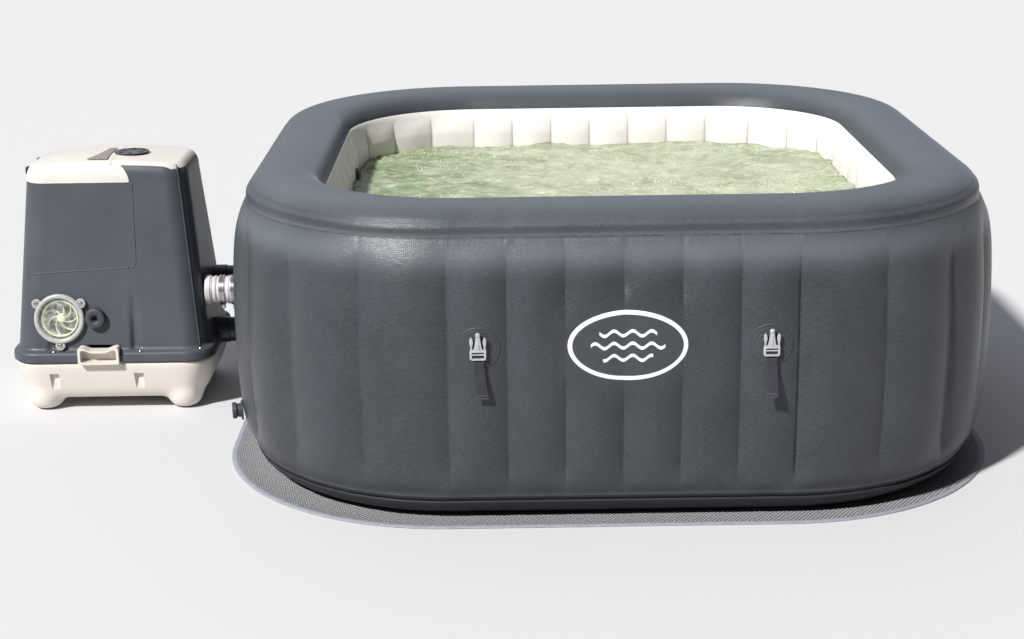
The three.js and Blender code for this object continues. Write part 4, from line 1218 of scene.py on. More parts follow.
def wrap_outline(gap):
    """The lid's front apron: its right end sweeps down in a quarter of an oval."""
    sweep = [(LID_RIGHT + (LID_FRONT_RIGHT - LID_RIGHT) * math.cos(a) + gap, LID_BOTTOM + 0.050 * math.sin(a) + gap)
             for a in np.linspace(0, math.pi / 2, 16)]
    return ([(0.0, LID_BOTTOM - gap), (LID_FRONT_RIGHT + gap, LID_BOTTOM - gap)] + sweep
            + [(0.0, LID_BOTTOM + 0.05 + gap)])


lid_front_outline = wrap_outline(0.0)
lid_wrap = prism(lid_front_outline, -0.30, LID_FRONT, "Y")
lid_room = prism([(-0.30, LID_BOTTOM - GAP), (LID_RIGHT + GAP, LID_BOTTOM - GAP), (LID_RIGHT + GAP, 0.70),
                  (-0.30, 0.70)], -0.30, 0.30, "Y")
wrap_room = prism(wrap_outline(GAP), -0.30, LID_FRONT + GAP, "Y")
lid_zone = combined("lid_zone", lid_main, [("UNION", lid_wrap)], None)
lid_cut = combined("lid_cut", lid_room, [("UNION", wrap_room)], None)
cap_plan = rounded_box(LID_RIGHT + GAP, 0.30, LID_FRONT + GAP, 0.30, (0.004, 0, 0, 0))
cap_zone = prism(cap_plan, CAP_BOTTOM, 0.70, "Z")
cap_cut = prism(rounded_box(LID_RIGHT - 0.002, 0.30, LID_FRONT, 0.30, (0.004, 0, 0, 0)),
                CAP_BOTTOM - GAP, 0.70, "Z")
PANEL_X, PANEL_Y = 0.052, 0.003
panel_bore = prism(circle(PANEL_X, PANEL_Y, 0.040), 0.6, 0.7, "Z")


def front_y(z):
    """y of the cover's leaning front face at a height, in the pump's own frame."""
    return COVER_LEVELS[7, 2] + (z - COVER_LEVELS[7, 0]) * FRONT_LEAN


def on_front(x, z, out=0.0):
    """Places a shape made round +Z so that it points out of the leaning front face."""
    lean = math.pi / 2 - math.atan(FRONT_LEAN)
    return (Matrix.Translation(PUMP + Vector((x, front_y(z), z))) @ Matrix.Rotation(lean, 4, "X")
            @ Matrix.Translation((0, 0, out)))


def solid_from(mesh, placing):
    mesh.transform(placing)
    made = bpy.data.objects.new("cutter", mesh)
    scene.collection.objects.link(made)
    return made


STRAINER = (-0.128, 0.252)
KNOB = (-0.035, 0.252)
strainer_bore = solid_from(turned_mesh([(0.0506, -0.05), (0.0506, 0.05)], 72), on_front(*STRAINER))
handle_low, handle_high = (Vector(corner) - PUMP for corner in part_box("carry_handle"))
handle_room = prism([(handle_low.x - GAP, 0.10), (handle_high.x + GAP, 0.10),
                     (handle_high.x + GAP, handle_high.z + GAP), (handle_low.x - GAP, handle_high.z + GAP)],
                    -0.30, -0.15, "Y")
cover = combined("slate_cover", shell, [
    ("DIFFERENCE", lid_cut), ("DIFFERENCE", cap_cut), ("DIFFERENCE", strainer_bore), ("DIFFERENCE", handle_room),
], cover_abs)
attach(cover, "tub")
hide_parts("pump_cover")
lid = combined("white_lid", shell, [("INTERSECT", lid_zone)], white_abs)
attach(lid, "filter_lid")
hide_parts("filter_lid")
cap = combined("white_cap", shell, [("INTERSECT", cap_zone), ("DIFFERENCE", panel_bore)], white_abs)
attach(cap, "tub")
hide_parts("top_cap")
for helper in (block, hollow, shell, lid_main, lid_wrap, lid_room, wrap_room, lid_zone, lid_cut, cap_zone, cap_cut,
               panel_bore, strainer_bore, handle_room):
    bpy.data.objects.remove(helper)


def bead(name, path, radius, material, flat=0.5):
    """A thin raised moulding along points on a surface; flat is its height as a share of its width."""
    path = np.asarray(path, float)
    run = np.gradient(path, axis=0)
    run /= np.linalg.norm(run, axis=1)[:, None]
    angle = np.linspace(0, 2 * math.pi, 10, endpoint=False)
    rings = []
    for point, along in zip(path, run):
        out = np.array([0.0, -1.0, FRONT_LEAN])
        out -= along * out.dot(along)
        out /= np.linalg.norm(out)
        side = np.cross(out, along)
        rings.append([point + side * radius * math.cos(a) + out * radius * flat * math.sin(a) for a in angle])
    return loft(name, rings[::-1], material)


def face_point(x, z, sunk=0.0002):
    """A point on the cover's front face, round its corners, in the shared frame."""
    level = cover_level(z)
    half, front, radius = level[1], level[2], level[4]
    past = max(0.0, abs(x) - (half - radius))
    y = front + radius - math.sqrt(max(radius ** 2 - min(past, radius * 0.999) ** 2, 0))
    return np.array([PUMP.x + x, PUMP.y + y + sunk, z])


line = [(x, 0.3665 + 0.052 * (x + 0.22)) for x in np.linspace(-0.222, 0.058, 40)]
corner_x, corner_z = 0.058, 0.3665 + 0.052 * 0.278
for a in np.radians(np.linspace(-90, 0, 9)):
    line.append((corner_x + 0.016 * math.cos(a), corner_z + 0.016 + 0.016 * math.sin(a)))
line += [(0.074 - 0.002 * s, corner_z + 0.016 + (0.600 - corner_z - 0.016) * s) for s in np.linspace(0.05, 1, 30)]
panel_line = bead("cover_panel_line", [face_point(x, z) for x, z in line], 0.0020, cover_abs, 0.75)
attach(panel_line, "tub")
edge_points = []
for s in np.linspace(0, 1, 60):
    z = 0.172 + (0.638 - 0.172) * s
    level = cover_level(z)
    turn = math.radians(-48)
    x = level[1] - level[4] + level[4] * math.cos(turn)
    y = level[2] + level[4] + level[4] * math.sin(turn)
    edge_points.append((PUMP.x + x, PUMP.y + y, z))
corner_line = bead("cover_corner_line", edge_points, 0.0018, cover_abs, 0.9)
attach(corner_line, "tub")


# ---- base tray ----
# A deep cream ABS tray with four rounded feet drawn down at its corners and two
# hand pockets in its front wall. It holds the heater and the blower.

TRAY_LEVELS = np.array([
    (0.0300, 0.2120, -0.1600, 0.1600, 0.056), (0.0330, 0.2200, -0.1690, 0.1690, 0.060),
    (0.0440, 0.2320, -0.1800, 0.1800, 0.062), (0.0600, 0.2420, -0.1880, 0.1880, 0.064),
    (0.0850, 0.2505, -0.1950, 0.1950, 0.067), (0.1100, 0.2570, -0.2010, 0.2010, 0.068),
    (0.1403, 0.2620, -0.2060, 0.2060, 0.070),
])
tray_rings = []
for z in np.linspace(0.0300, 0.1403, 30):
    level = [z] + [np.interp(z, TRAY_LEVELS[:, 0], TRAY_LEVELS[:, i]) for i in range(1, 5)]
    ring = rounded_ring(level, 60, 30, 10)
    tray_rings.append(ring + np.array([PUMP.x, PUMP.y, 0]))
tray_block = loft("tray_block", tray_rings, None)
FOOT = [(0.022, 0.0002), (0.031, 0.002), (0.038, 0.007), (0.043, 0.015), (0.047, 0.027), (0.050, 0.042),
        (0.046, 0.062), (0.034, 0.080)]
feet = []
for foot_x in (-0.187, 0.178):
    for foot_y in (-0.141, 0.141):
        feet.append(solid_from(turned_mesh(FOOT, 40), Matrix.Translation(PUMP + Vector((foot_x, foot_y, 0)))))
tray = combined("tray_solid", tray_block, [("UNION", foot) for foot in feet], cream_abs)
remesh = tray.modifiers.new("melt", "REMESH")
remesh.mode = "VOXEL"
remesh.voxel_size = 0.0034
blend_feet = tray.modifiers.new("smooth", "CORRECTIVE_SMOOTH")
blend_feet.factor = 1.0
blend_feet.iterations = 26
blend_feet.use_only_smooth = True
evaluated = tray.evaluated_get(bpy.context.evaluated_depsgraph_get())
melted = bpy.data.objects.new("tray_melted", bpy.data.meshes.new_from_object(evaluated))
scene.collection.objects.link(melted)
tray_top = prism([(-0.4, -0.4), (0.4, -0.4), (0.4, 0.4), (-0.4, 0.4)], 0.1400, 0.20, "Z")
inside_rings = []
for z in np.linspace(0.040, 0.16, 12):
    level = [z] + [np.interp(z, TRAY_LEVELS[:, 0], TRAY_LEVELS[:, i]) for i in range(1, 5)]
    level[1], level[2], level[3], level[4] = level[1] - 0.006, level[2] + 0.018, level[3] - 0.006, level[4] - 0.006
    inside_rings.append(rounded_ring(level, 40, 20, 8) + np.array([PUMP.x, PUMP.y, 0]))
tray_inside = loft("tray_inside", inside_rings, None)
pockets = []
for pocket_x in (-0.150, 0.070):
    outline = [(pocket_x - 0.0125, 0.108), (pocket_x - 0.0105, 0.064)]
    outline += [(pocket_x + 0.0105 * math.cos(a), 0.064 - 0.0075 * math.sin(a))
                for a in np.linspace(math.pi, 0, 9)[1:-1]]
    outline += [(pocket_x + 0.0105, 0.064), (pocket_x + 0.0125, 0.108)]
    pockets.append(prism(outline, -0.26, -0.1885, "Y"))
base = combined("cream_tray", melted, [("DIFFERENCE", tray_top), ("DIFFERENCE", tray_inside)]
                + [("DIFFERENCE", handle) for handle in pockets], cream_abs, 50)
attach(base, "tub")
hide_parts("base_tray")
for helper in (tray_block, tray, melted, tray_top, tray_inside, *feet, *pockets):
    bpy.data.objects.remove(helper)


# ---- cover screws ----
# Self-tapping pan head screws, zinc plated, hold the cover to the tray round the lip.

# Zinc plated steel: bright, faintly clouded by the plating bath
zinc_steel, tree, shader = start_material("zinc_plated_steel", Metallic=1.0)
coords = add_node(tree, "ShaderNodeTexCoord")
clouds = add_node(tree, "ShaderNodeTexNoise", {
    "Vector": coords.outputs["Object"], "Scale": 180.0, "Detail": 5.0,
})
tint = add_node(tree, "ShaderNodeMix", {
    "Factor": clouds.outputs["Fac"], 6: linear("#a9aaad"), 7: linear("#dcdcdb"),
}, data_type="RGBA")
polish = add_node(tree, "ShaderNodeMapRange", {"Value": clouds.outputs["Fac"], "To Min": 0.18, "To Max": 0.42})
tree.links.new(tint.outputs[2], shader.inputs["Base Color"])
tree.links.new(polish.outputs[0], shader.inputs["Roughness"])

screw_mesh = turned_mesh([(0.0016, -0.003), (0.0038, -0.0004), (0.0040, 0.0006), (0.0034, 0.0015), (0.0022, 0.0019),
                          (0.0006, 0.0020)], 20)
screw_model = bpy.data.objects.new("screw_model", screw_mesh)
cross_cuts = []
for angle in (0, math.pi / 2):
    bar = bpy.data.meshes.new("bar")
    shape = bmesh.new()
    bmesh.ops.create_cube(shape, size=1.0)
    shape.to_mesh(bar)
    shape.free()
    cross_cuts.append(solid_from(bar, Matrix.Translation((0, 0, 0.0018)) @ Matrix.Rotation(angle, 4, "Z")
                                 @ Matrix.Diagonal((0.0040, 0.0008, 0.0018, 1))))
scene.collection.objects.link(screw_model)
screw_head = combined("screw_head", screw_model, [("DIFFERENCE", cut) for cut in cross_cuts], zinc_steel)
for helper in (screw_model, *cross_cuts):
    bpy.data.objects.remove(helper)

# One screw at every point, turned to the point's own "facing" direction
screw_tree = bpy.data.node_groups.new("screws", "GeometryNodeTree")
screw_tree.interface.new_socket("Geometry", in_out="INPUT", socket_type="NodeSocketGeometry")
screw_tree.interface.new_socket("Head size", in_out="INPUT", socket_type="NodeSocketFloat").default_value = 1.0
screw_tree.interface.new_socket("Screw metal", in_out="INPUT", socket_type="NodeSocketMaterial")
screw_tree.interface.new_socket("Geometry", in_out="OUTPUT", socket_type="NodeSocketGeometry")
given = add_node(screw_tree, "NodeGroupInput")
facing = add_node(screw_tree, "GeometryNodeInputNamedAttribute", {"Name": "facing"}, data_type="FLOAT_VECTOR")
turn = add_node(screw_tree, "FunctionNodeAlignRotationToVector", {"Vector": facing.outputs[0]}, axis="Z")
model = add_node(screw_tree, "GeometryNodeObjectInfo", {"Object": screw_head})
placed = add_node(screw_tree, "GeometryNodeInstanceOnPoints", {
    "Points": given.outputs["Geometry"], "Instance": model.outputs["Geometry"], "Rotation": turn.outputs[0],
    "Scale": given.outputs["Head size"],
})
solid = add_node(screw_tree, "GeometryNodeRealizeInstances", {"Geometry": placed.outputs[0]})
painted = add_node(screw_tree, "GeometryNodeSetMaterial", {
    "Geometry": solid.outputs[0], "Material": given.outputs["Screw metal"],
})
add_node(screw_tree, "NodeGroupOutput", {"Geometry": painted.outputs[0]})


def screws_at(name, places, size=1.0):
    """Screws at (point, direction) pairs in the shared frame."""
    mesh = bpy.data.meshes.new("screw_places")
    mesh.from_pydata([tuple(point) for point, _ in places], [], [])
    layer = mesh.attributes.new("facing", "FLOAT_VECTOR", "POINT")
    layer.data.foreach_set("vector", np.array([tuple(way) for _, way in places], float).ravel())
    guide = bpy.data.objects.new("screw_places", mesh)
    made = grown_by(screw_tree, guide, name, zinc_steel, **{"Head size": size})
    bpy.data.objects.remove(guide)
    made.data.shade_smooth()
    made.data.set_sharp_from_angle(angle=math.radians(35))
    return made


lip_places = [(PUMP + Vector((x, -0.1985, 0.1678)), (0, 0, 1)) for x in (-0.146, 0.078)]
lip_places += [(PUMP + Vector((x, 0.1985, 0.1678)), (0, 0, 1)) for x in (-0.14, 0.0, 0.14)]
lip_places += [(PUMP + Vector((side * 0.2490, y, 0.1678)), (0, 0, 1)) for side in (-1, 1) for y in (-0.10, 0.09)]
lip_places += [(PUMP + Vector((0.231, -0.181, 0.1678)), (0, 0, 1))]
lip_screws = screws_at("lip_screws", lip_places, 1.1)
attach(lip_screws, "tub")


# ---- grip pocket ----
# A cream moulded pull set in the front of the lip: a shallow box with a dipped, rolled top edge.

def profile_prism(outline, depth, placing):
    """A plate with its outline in x and z, cut straight through y, for combining."""
    shape = bmesh.new()
    near = [shape.verts.new((x, -depth / 2, z)) for x, z in outline]
    far = [shape.verts.new((x, depth / 2, z)) for x, z in outline]
    for i in range(len(outline)):
        j = (i + 1) % len(outline)
        shape.faces.new((near[i], near[j], far[j], far[i]))
    shape.faces.new(list(reversed(near)))
    shape.faces.new(far)
    bmesh.ops.recalc_face_normals(shape, faces=shape.faces)
    mesh = bpy.data.meshes.new("plate")
    shape.to_mesh(mesh)
    shape.free()
    return solid_from(mesh, placing)


grip_width = handle_high.x - handle_low.x
grip_height = handle_high.z - handle_low.z
grip_depth = handle_high.y - handle_low.y
grip_centre = PUMP + Vector(((handle_low.x + handle_high.x) / 2, (handle_low.y + handle_high.y) / 2, handle_low.z))


def grip_outline(inset, dip):
    """The pull's front outline from its lower left, counter-clockwise, with a dipped top edge."""
    half = grip_width / 2 - inset
    top = grip_height - inset
    points = [(-half + 0.003, inset), (half - 0.003, inset), (half, inset + 0.003)]
    points += [(half - 0.006 + 0.006 * math.cos(a), top - 0.006 + 0.006 * math.sin(a))
               for a in np.linspace(0, math.pi / 2, 7)]
    for x in np.linspace(half - 0.008, -half + 0.008, 31):
        share = abs(x) / (half - 0.008)
        points.append((x, top - dip * (1 - float(rise(share, 0.42, 0.98)))))
    points += [(-half + 0.006 - 0.006 * math.sin(a), top - 0.006 + 0.006 * math.cos(a))
               for a in np.linspace(0, math.pi / 2, 7)]
    return points + [(-half, inset + 0.003)]


grip_block = profile_prism(grip_outline(0.0, 0.0085), grip_depth, Matrix.Translation(grip_centre))
grip_hollow = profile_prism(grip_outline(0.0065, 0.0075), grip_depth,
                            Matrix.Translation(grip_centre + Vector((0, -0.008, 0.0))))
grip = combined("grip_pull", grip_block, [("DIFFERENCE", grip_hollow)], cream_abs, 45)
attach(grip, "tub")
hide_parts("carry_handle")
bpy.data.objects.remove(grip_block)
bpy.data.objects.remove(grip_hollow)


# ---- debris trap and drain knob ----
# A clear polycarbonate window held by three screws over a moulded bowl, with the pump
# rotor behind it; beside it the grey knob that lets the pump drain.

# Clear polycarbonate: a thin moulded pane, glossy, faintly milky in places
polycarbonate, tree, shader = start_material("clear_polycarbonate", Roughness=0.06, IOR=1.45,
                                             Alpha=0.3)
coords = add_node(tree, "ShaderNodeTexCoord")
haze = add_node(tree, "ShaderNodeTexNoise", {"Vector": coords.outputs["Object"], "Scale": 70.0, "Detail": 4.0})
tint = add_node(tree, "ShaderNodeMix", {
    "Factor": haze.outputs["Fac"], 6: linear("#e9eae4"), 7: linear("#fbfbf8"),
}, data_type="RGBA")
bump = add_node(tree, "ShaderNodeBump", {"Height": haze.outputs["Fac"], "Strength": 0.12, "Distance": 0.002})
veil = add_node(tree, "ShaderNodeMapRange", {"Value": haze.outputs["Fac"], "From Min": 0.35, "From Max": 0.7,
                                             "To Min": 0.03, "To Max": 0.20})
tree.links.new(tint.outputs[2], shader.inputs["Base Color"])
tree.links.new(veil.outputs[0], shader.inputs["Alpha"])
tree.links.new(bump.outputs[0], shader.inputs["Normal"])

# The window's rim is frosted by the mould and reads as pale grey
frosted_rim, tree, shader = start_material("frosted_polycarbonate", Roughness=0.32, Specular_IOR_Level=0.5)
shader.inputs["Subsurface Weight"].default_value = 0.2
shader.inputs["Subsurface Scale"].default_value = 0.004
coords = add_node(tree, "ShaderNodeTexCoord")
haze = add_node(tree, "ShaderNodeTexNoise", {"Vector": coords.outputs["Object"], "Scale": 120.0, "Detail": 4.0})
tint = add_node(tree, "ShaderNodeMix", {
    "Factor": haze.outputs["Fac"], 6: linear("#8d8f8d"), 7: linear("#c4c5c2"),
}, data_type="RGBA")
tree.links.new(tint.outputs[2], shader.inputs["Base Color"])

LUG_ANGLES = (-90, 35, 145)
rim_profile = [(0.0525, 0.001), (0.0640, 0.001), (0.0650, 0.0025), (0.0650, 0.0090), (0.0638, 0.0115),
               (0.0610, 0.0130), (0.0575, 0.0133), (0.0545, 0.0120), (0.0525, 0.0090)]


def ring_mesh(profile, steps=96):
    """A closed ring round Z from a closed profile of (radius, height) points."""
    angle = np.linspace(0, 2 * math.pi, steps, endpoint=False)
    points = [(r * math.cos(a), r * math.sin(a), h) for a in angle for r, h in profile]
    n = len(profile)
    faces = []
    for i in range(steps):
        for j in range(n):
            a, b = i * n + j, i * n + (j + 1) % n
            c, d = ((i + 1) % steps) * n + j, ((i + 1) % steps) * n + (j + 1) % n
            faces.append((a, c, d, b))
    mesh = bpy.data.meshes.new("ring")
    mesh.from_pydata(points, [], faces)
    shape = bmesh.new()
    shape.from_mesh(mesh)
    bmesh.ops.recalc_face_normals(shape, faces=shape.faces)
    shape.to_mesh(mesh)
    shape.free()
    return mesh


rim_meshes = [ring_mesh(rim_profile)]
screw_places = []
window_placing = on_front(*STRAINER)
for angle in LUG_ANGLES:
    a = math.radians(angle)
    lug = turned_mesh([(0.0115, 0.001), (0.0128, 0.0022), (0.0128, 0.0085), (0.0118, 0.0105), (0.0085, 0.0112),
                       (0.0080, 0.0098), (0.001, 0.0098)], 32)
    lug.transform(Matrix.Translation((0.0695 * math.cos(a), 0.0695 * math.sin(a), 0)))
    rim_meshes.append(lug)
    seat = window_placing @ Vector((0.0700 * math.cos(a), 0.0700 * math.sin(a), 0.0102))
    screw_places.append((seat, window_placing.to_3x3() @ Vector((0, 0, 1))))
for mesh in rim_meshes:
    mesh.transform(window_placing)
rim = joined("window_rim", rim_meshes, frosted_rim, 50)
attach(rim, "tub")
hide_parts("strainer_window")
pane_mesh = turned_mesh([(0.0528, 0.0035), (0.0530, 0.0060), (0.0500, 0.0074), (0.0400, 0.0088), (0.0250, 0.0098),
                         (0.0100, 0.0102), (0.0010, 0.0102)], 72)
pane_mesh.transform(window_placing)
pane = joined("window_pane", [pane_mesh], polycarbonate, 60)
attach(pane, "tub")
for i, place in enumerate(screw_places):
    screw = screws_at(f"window_screw_{i + 1}", [place], 1.5)
    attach(screw, "tub")
    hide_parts(f"strainer_screw_{i + 1}")
bpy.data.objects.remove(screw_head)

# Inside the bowl: a pale green strainer basket of curved ribs round a cream hub
basket_green = moulded_abs("moulded_abs_pale_green", "#c3caa4", "#f0f1dc", 0.25)
basket_meshes = [ring_mesh([(0.0440, -0.030), (0.0490, -0.030), (0.0490, 0.001), (0.0465, 0.003), (0.0440, 0.001)]),
                 turned_mesh([(0.011, -0.045), (0.012, -0.014), (0.0105, -0.008), (0.006, -0.006),
                              (0.001, -0.0055)], 32)]
for i in range(7):
    turn = i * 2 * math.pi / 7
    path = []
    for s in np.linspace(0, 1, 14):
        angle = turn + 1.1 * s
        reach = 0.009 + 0.037 * s
        path.append((reach * math.cos(angle), reach * math.sin(angle), -0.010 - 0.010 * math.sin(math.pi * s)))
    path = np.array(path)
    run = np.gradient(path, axis=0)
    run /= np.linalg.norm(run, axis=1)[:, None]
    rings = []
    for point, along in zip(path, run):
        side = np.cross((0, 0, 1.0), along)
        rings.append([point + side * 0.0016 * a + np.array((0, 0, 1.0)) * 0.0045 * b
                      for a, b in ((-1, -1), (1, -1), (1, 0.6), (0.5, 1), (-0.5, 1), (-1, 0.6))])
    rib = loft("rib", rings, None)
    basket_meshes.append(rib.data.copy())
    bpy.data.objects.remove(rib)
for mesh in basket_meshes:
    mesh.transform(window_placing)
basket = joined("strainer_basket", basket_meshes, basket_green, 40)
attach(basket, "tub")
# The bowl is dark olive: mostly painted shade inside the bowl behind the window
nodes["strainer_bowl"].data.materials[0] = moulded_abs("moulded_abs_olive_painted_shade", "#2b2e20", "#5c6044", 0.2, 0.006)
nodes["impeller"].data.materials[0] = basket_green

knob_profile = [(0.0250, 0.0008), (0.0262, 0.0020), (0.0262, 0.0130), (0.0250, 0.0158), (0.0222, 0.0172),
                (0.0115, 0.0172), (0.0098, 0.0158), (0.0092, 0.0110), (0.0062, 0.0110), (0.0058, 0.0012)]
knob_mesh = ring_mesh(knob_profile, 72)
flutes = []
knob_solid = solid_from(knob_mesh, Matrix.Identity(4))
for i in range(9):
    a = i * 2 * math.pi / 9
    flute = turned_mesh([(0.0030, -0.01), (0.0030, 0.03)], 12)
    flutes.append(solid_from(flute, Matrix.Translation((0.0284 * math.cos(a), 0.0284 * math.sin(a), 0))))
knob = combined("drain_turn_knob", knob_solid, [("DIFFERENCE", flute) for flute in flutes], dark_abs, 40)
knob.data.transform(on_front(*KNOB))
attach(knob, "drain_knob")
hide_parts("drain_knob")
for helper in (knob_solid, *flutes):
    bpy.data.objects.remove(helper)


# ---- control panel ----
# A round glossy black polycarbonate pad on the cap, with six press buttons round a dark
# display window. Its printed marks are plain dots and bars.

glossy_black = moulded_abs("glossy_black_polycarbonate", "#0c0c0d", "#161617", 0.10, edge=0.0008, coat=0.6)
panel_mesh = turned_mesh([(0.0440, 0.6523), (0.0450, 0.6530), (0.0450, 0.6545), (0.0440, 0.6555), (0.0420, 0.6557),
                          (0.0180, 0.6557), (0.0172, 0.6551), (0.001, 0.6551)], 96)
panel_mesh.transform(Matrix.Translation((PUMP.x + PANEL_X, PUMP.y + PANEL_Y, 0)))
panel_solid = solid_from(panel_mesh, Matrix.Identity(4))
bores = [prism(circle(PANEL_X + 0.031 * math.cos((i + 0.5) * math.pi / 3),
                      PANEL_Y + 0.031 * math.sin((i + 0.5) * math.pi / 3), 0.0060, 32), 0.6, 0.7, "Z")
         for i in range(6)]
panel = combined("control_pad", panel_solid, [("DIFFERENCE", bore) for bore in bores], glossy_black, 30)
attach(panel, "tub")
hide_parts("control_panel")
for helper in (panel_solid, *bores):
    bpy.data.objects.remove(helper)

# Printed marks: pale grey ink, a little worn
pad_ink, tree, shader = start_material("pad_printing_ink", Roughness=0.5)
coords = add_node(tree, "ShaderNodeTexCoord")
wear = add_node(tree, "ShaderNodeTexNoise", {"Vector": coords.outputs["Object"], "Scale": 700.0, "Detail": 3.0})
tint = add_node(tree, "ShaderNodeMix", {
    "Factor": wear.outputs["Fac"], 6: linear("#77787a"), 7: linear("#c9cacc"),
}, data_type="RGBA")
tree.links.new(tint.outputs[2], shader.inputs["Base Color"])
marks = []
for i in range(24):
    a = i * math.pi / 12
    if i % 4 == 2:
        continue
    mark = turned_mesh([(0.0009, 0.65565), (0.0009, 0.65578), (0.0002, 0.65580)], 10)
    mark.transform(Matrix.Translation((PUMP.x + PANEL_X + 0.0392 * math.cos(a),
                                       PUMP.y + PANEL_Y + 0.0392 * math.sin(a), 0)))
    marks.append(mark)
for i in range(3):
    mark = turned_mesh([(0.0020, 0.65505), (0.0020, 0.65518), (0.0002, 0.65520)], 16)
    mark.transform(Matrix.Translation((PUMP.x + PANEL_X + (i - 1) * 0.0085, PUMP.y + PANEL_Y, 0)))
    marks.append(mark)
mark_piece = joined("pad_marks", marks, pad_ink)
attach(mark_piece, "tub")
for i in range(6):
    nodes[f"button_{i + 1}"].data.materials[0] = dark_abs


# ---- hoses and pipes ----
# A ribbed white PVC air hose and two black water pipes join the pump to the tub; a steel
# worm-drive band closes the hose at each end.

# Plasticised PVC hose: off-white, slightly grubby in patches
hose_pvc, tree, shader = start_material("ribbed_pvc_hose", Roughness=0.45)
shader.inputs["Subsurface Weight"].default_value = 0.1
shader.inputs["Subsurface Scale"].default_value = 0.003
coords = add_node(tree, "ShaderNodeTexCoord")
grime = add_node(tree, "ShaderNodeTexNoise", {"Vector": coords.outputs["Object"], "Scale": 45.0, "Detail": 6.0})
tint = add_node(tree, "ShaderNodeMix", {
    "Factor": grime.outputs["Fac"], 6: linear("#aca7a9"), 7: linear("#dedad9"),
}, data_type="RGBA")
bump = add_node(tree, "ShaderNodeBump", {"Height": grime.outputs["Fac"], "Strength": 0.1, "Distance": 0.001})
tree.links.new(tint.outputs[2], shader.inputs["Base Color"])
tree.links.new(bump.outputs[0], shader.inputs["Normal"])

hose_low, hose_high = (Vector(corner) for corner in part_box("air_hose"))
hose_y, hose_z = (hose_low.y + hose_high.y) / 2, (hose_low.z + hose_high.z) / 2
HOSE_RADIUS = 0.038
hose_length = hose_high.x - hose_low.x
hose_profile = []
steps = 150
clamp_boxes = [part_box("hose_clamp_pump"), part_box("hose_clamp_tub")]
for s in np.linspace(0, hose_length, steps):
    x = hose_low.x + s
    under_clamp = any(low[0] - 0.003 < x < high[0] + 0.003 for low, high in clamp_boxes)
    swell = 0.0 if under_clamp or s < 0.016 else 0.0016 * math.sin(2 * math.pi * s / 0.0115)
    hose_profile.append((HOSE_RADIUS - 0.0018 + swell + (0.0032 if s < 0.013 else 0), s))
hose_mesh = turned_mesh(hose_profile, 64)
along_x = Matrix.Rotation(math.pi / 2, 4, "Y")
hose_mesh.transform(Matrix.Translation((hose_low.x, hose_y, hose_z)) @ along_x)
hose = joined("ribbed_air_hose", [hose_mesh], hose_pvc, 60)
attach(hose, "tub")
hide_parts("air_hose")

# Slots of the worm-drive band: dark cuts pressed across it, all round the hose
slot_tree = bpy.data.node_groups.new("band_slots", "GeometryNodeTree")
slot_tree.interface.new_socket("Geometry", in_out="INPUT", socket_type="NodeSocketGeometry")
for label, value in (("Band radius", 0.039), ("Slot spacing", 0.0032), ("Slot width", 0.0011),
                     ("Slot length", 0.0075)):
    slot_tree.interface.new_socket(label, in_out="INPUT", socket_type="NodeSocketFloat").default_value = value
slot_tree.interface.new_socket("Slot look", in_out="INPUT", socket_type="NodeSocketMaterial")
slot_tree.interface.new_socket("Geometry", in_out="OUTPUT", socket_type="NodeSocketGeometry")
given = add_node(slot_tree, "NodeGroupInput")
band_line = add_node(slot_tree, "GeometryNodeCurvePrimitiveCircle", {
    "Resolution": 96, "Radius": given.outputs["Band radius"],
})
spaced = add_node(slot_tree, "GeometryNodeResampleCurve", {
    "Curve": band_line.outputs[0], "Length": given.outputs["Slot spacing"],
}, mode="LENGTH")
heading = add_node(slot_tree, "GeometryNodeInputTangent")
turn = add_node(slot_tree, "FunctionNodeAlignRotationToVector", {"Vector": heading.outputs[0]}, axis="X")
size = add_node(slot_tree, "ShaderNodeCombineXYZ", {
    "X": given.outputs["Slot width"], "Y": given.outputs["Slot width"], "Z": given.outputs["Slot length"],
})
bar = add_node(slot_tree, "GeometryNodeMeshCube", {"Size": size.outputs[0]})
placed = add_node(slot_tree, "GeometryNodeInstanceOnPoints", {
    "Points": spaced.outputs[0], "Instance": bar.outputs["Mesh"], "Rotation": turn.outputs[0],
})
solid = add_node(slot_tree, "GeometryNodeRealizeInstances", {"Geometry": placed.outputs[0]})
painted = add_node(slot_tree, "GeometryNodeSetMaterial", {
    "Geometry": solid.outputs[0], "Material": given.outputs["Slot look"],
})
add_node(slot_tree, "NodeGroupOutput", {"Geometry": painted.outputs[0]})

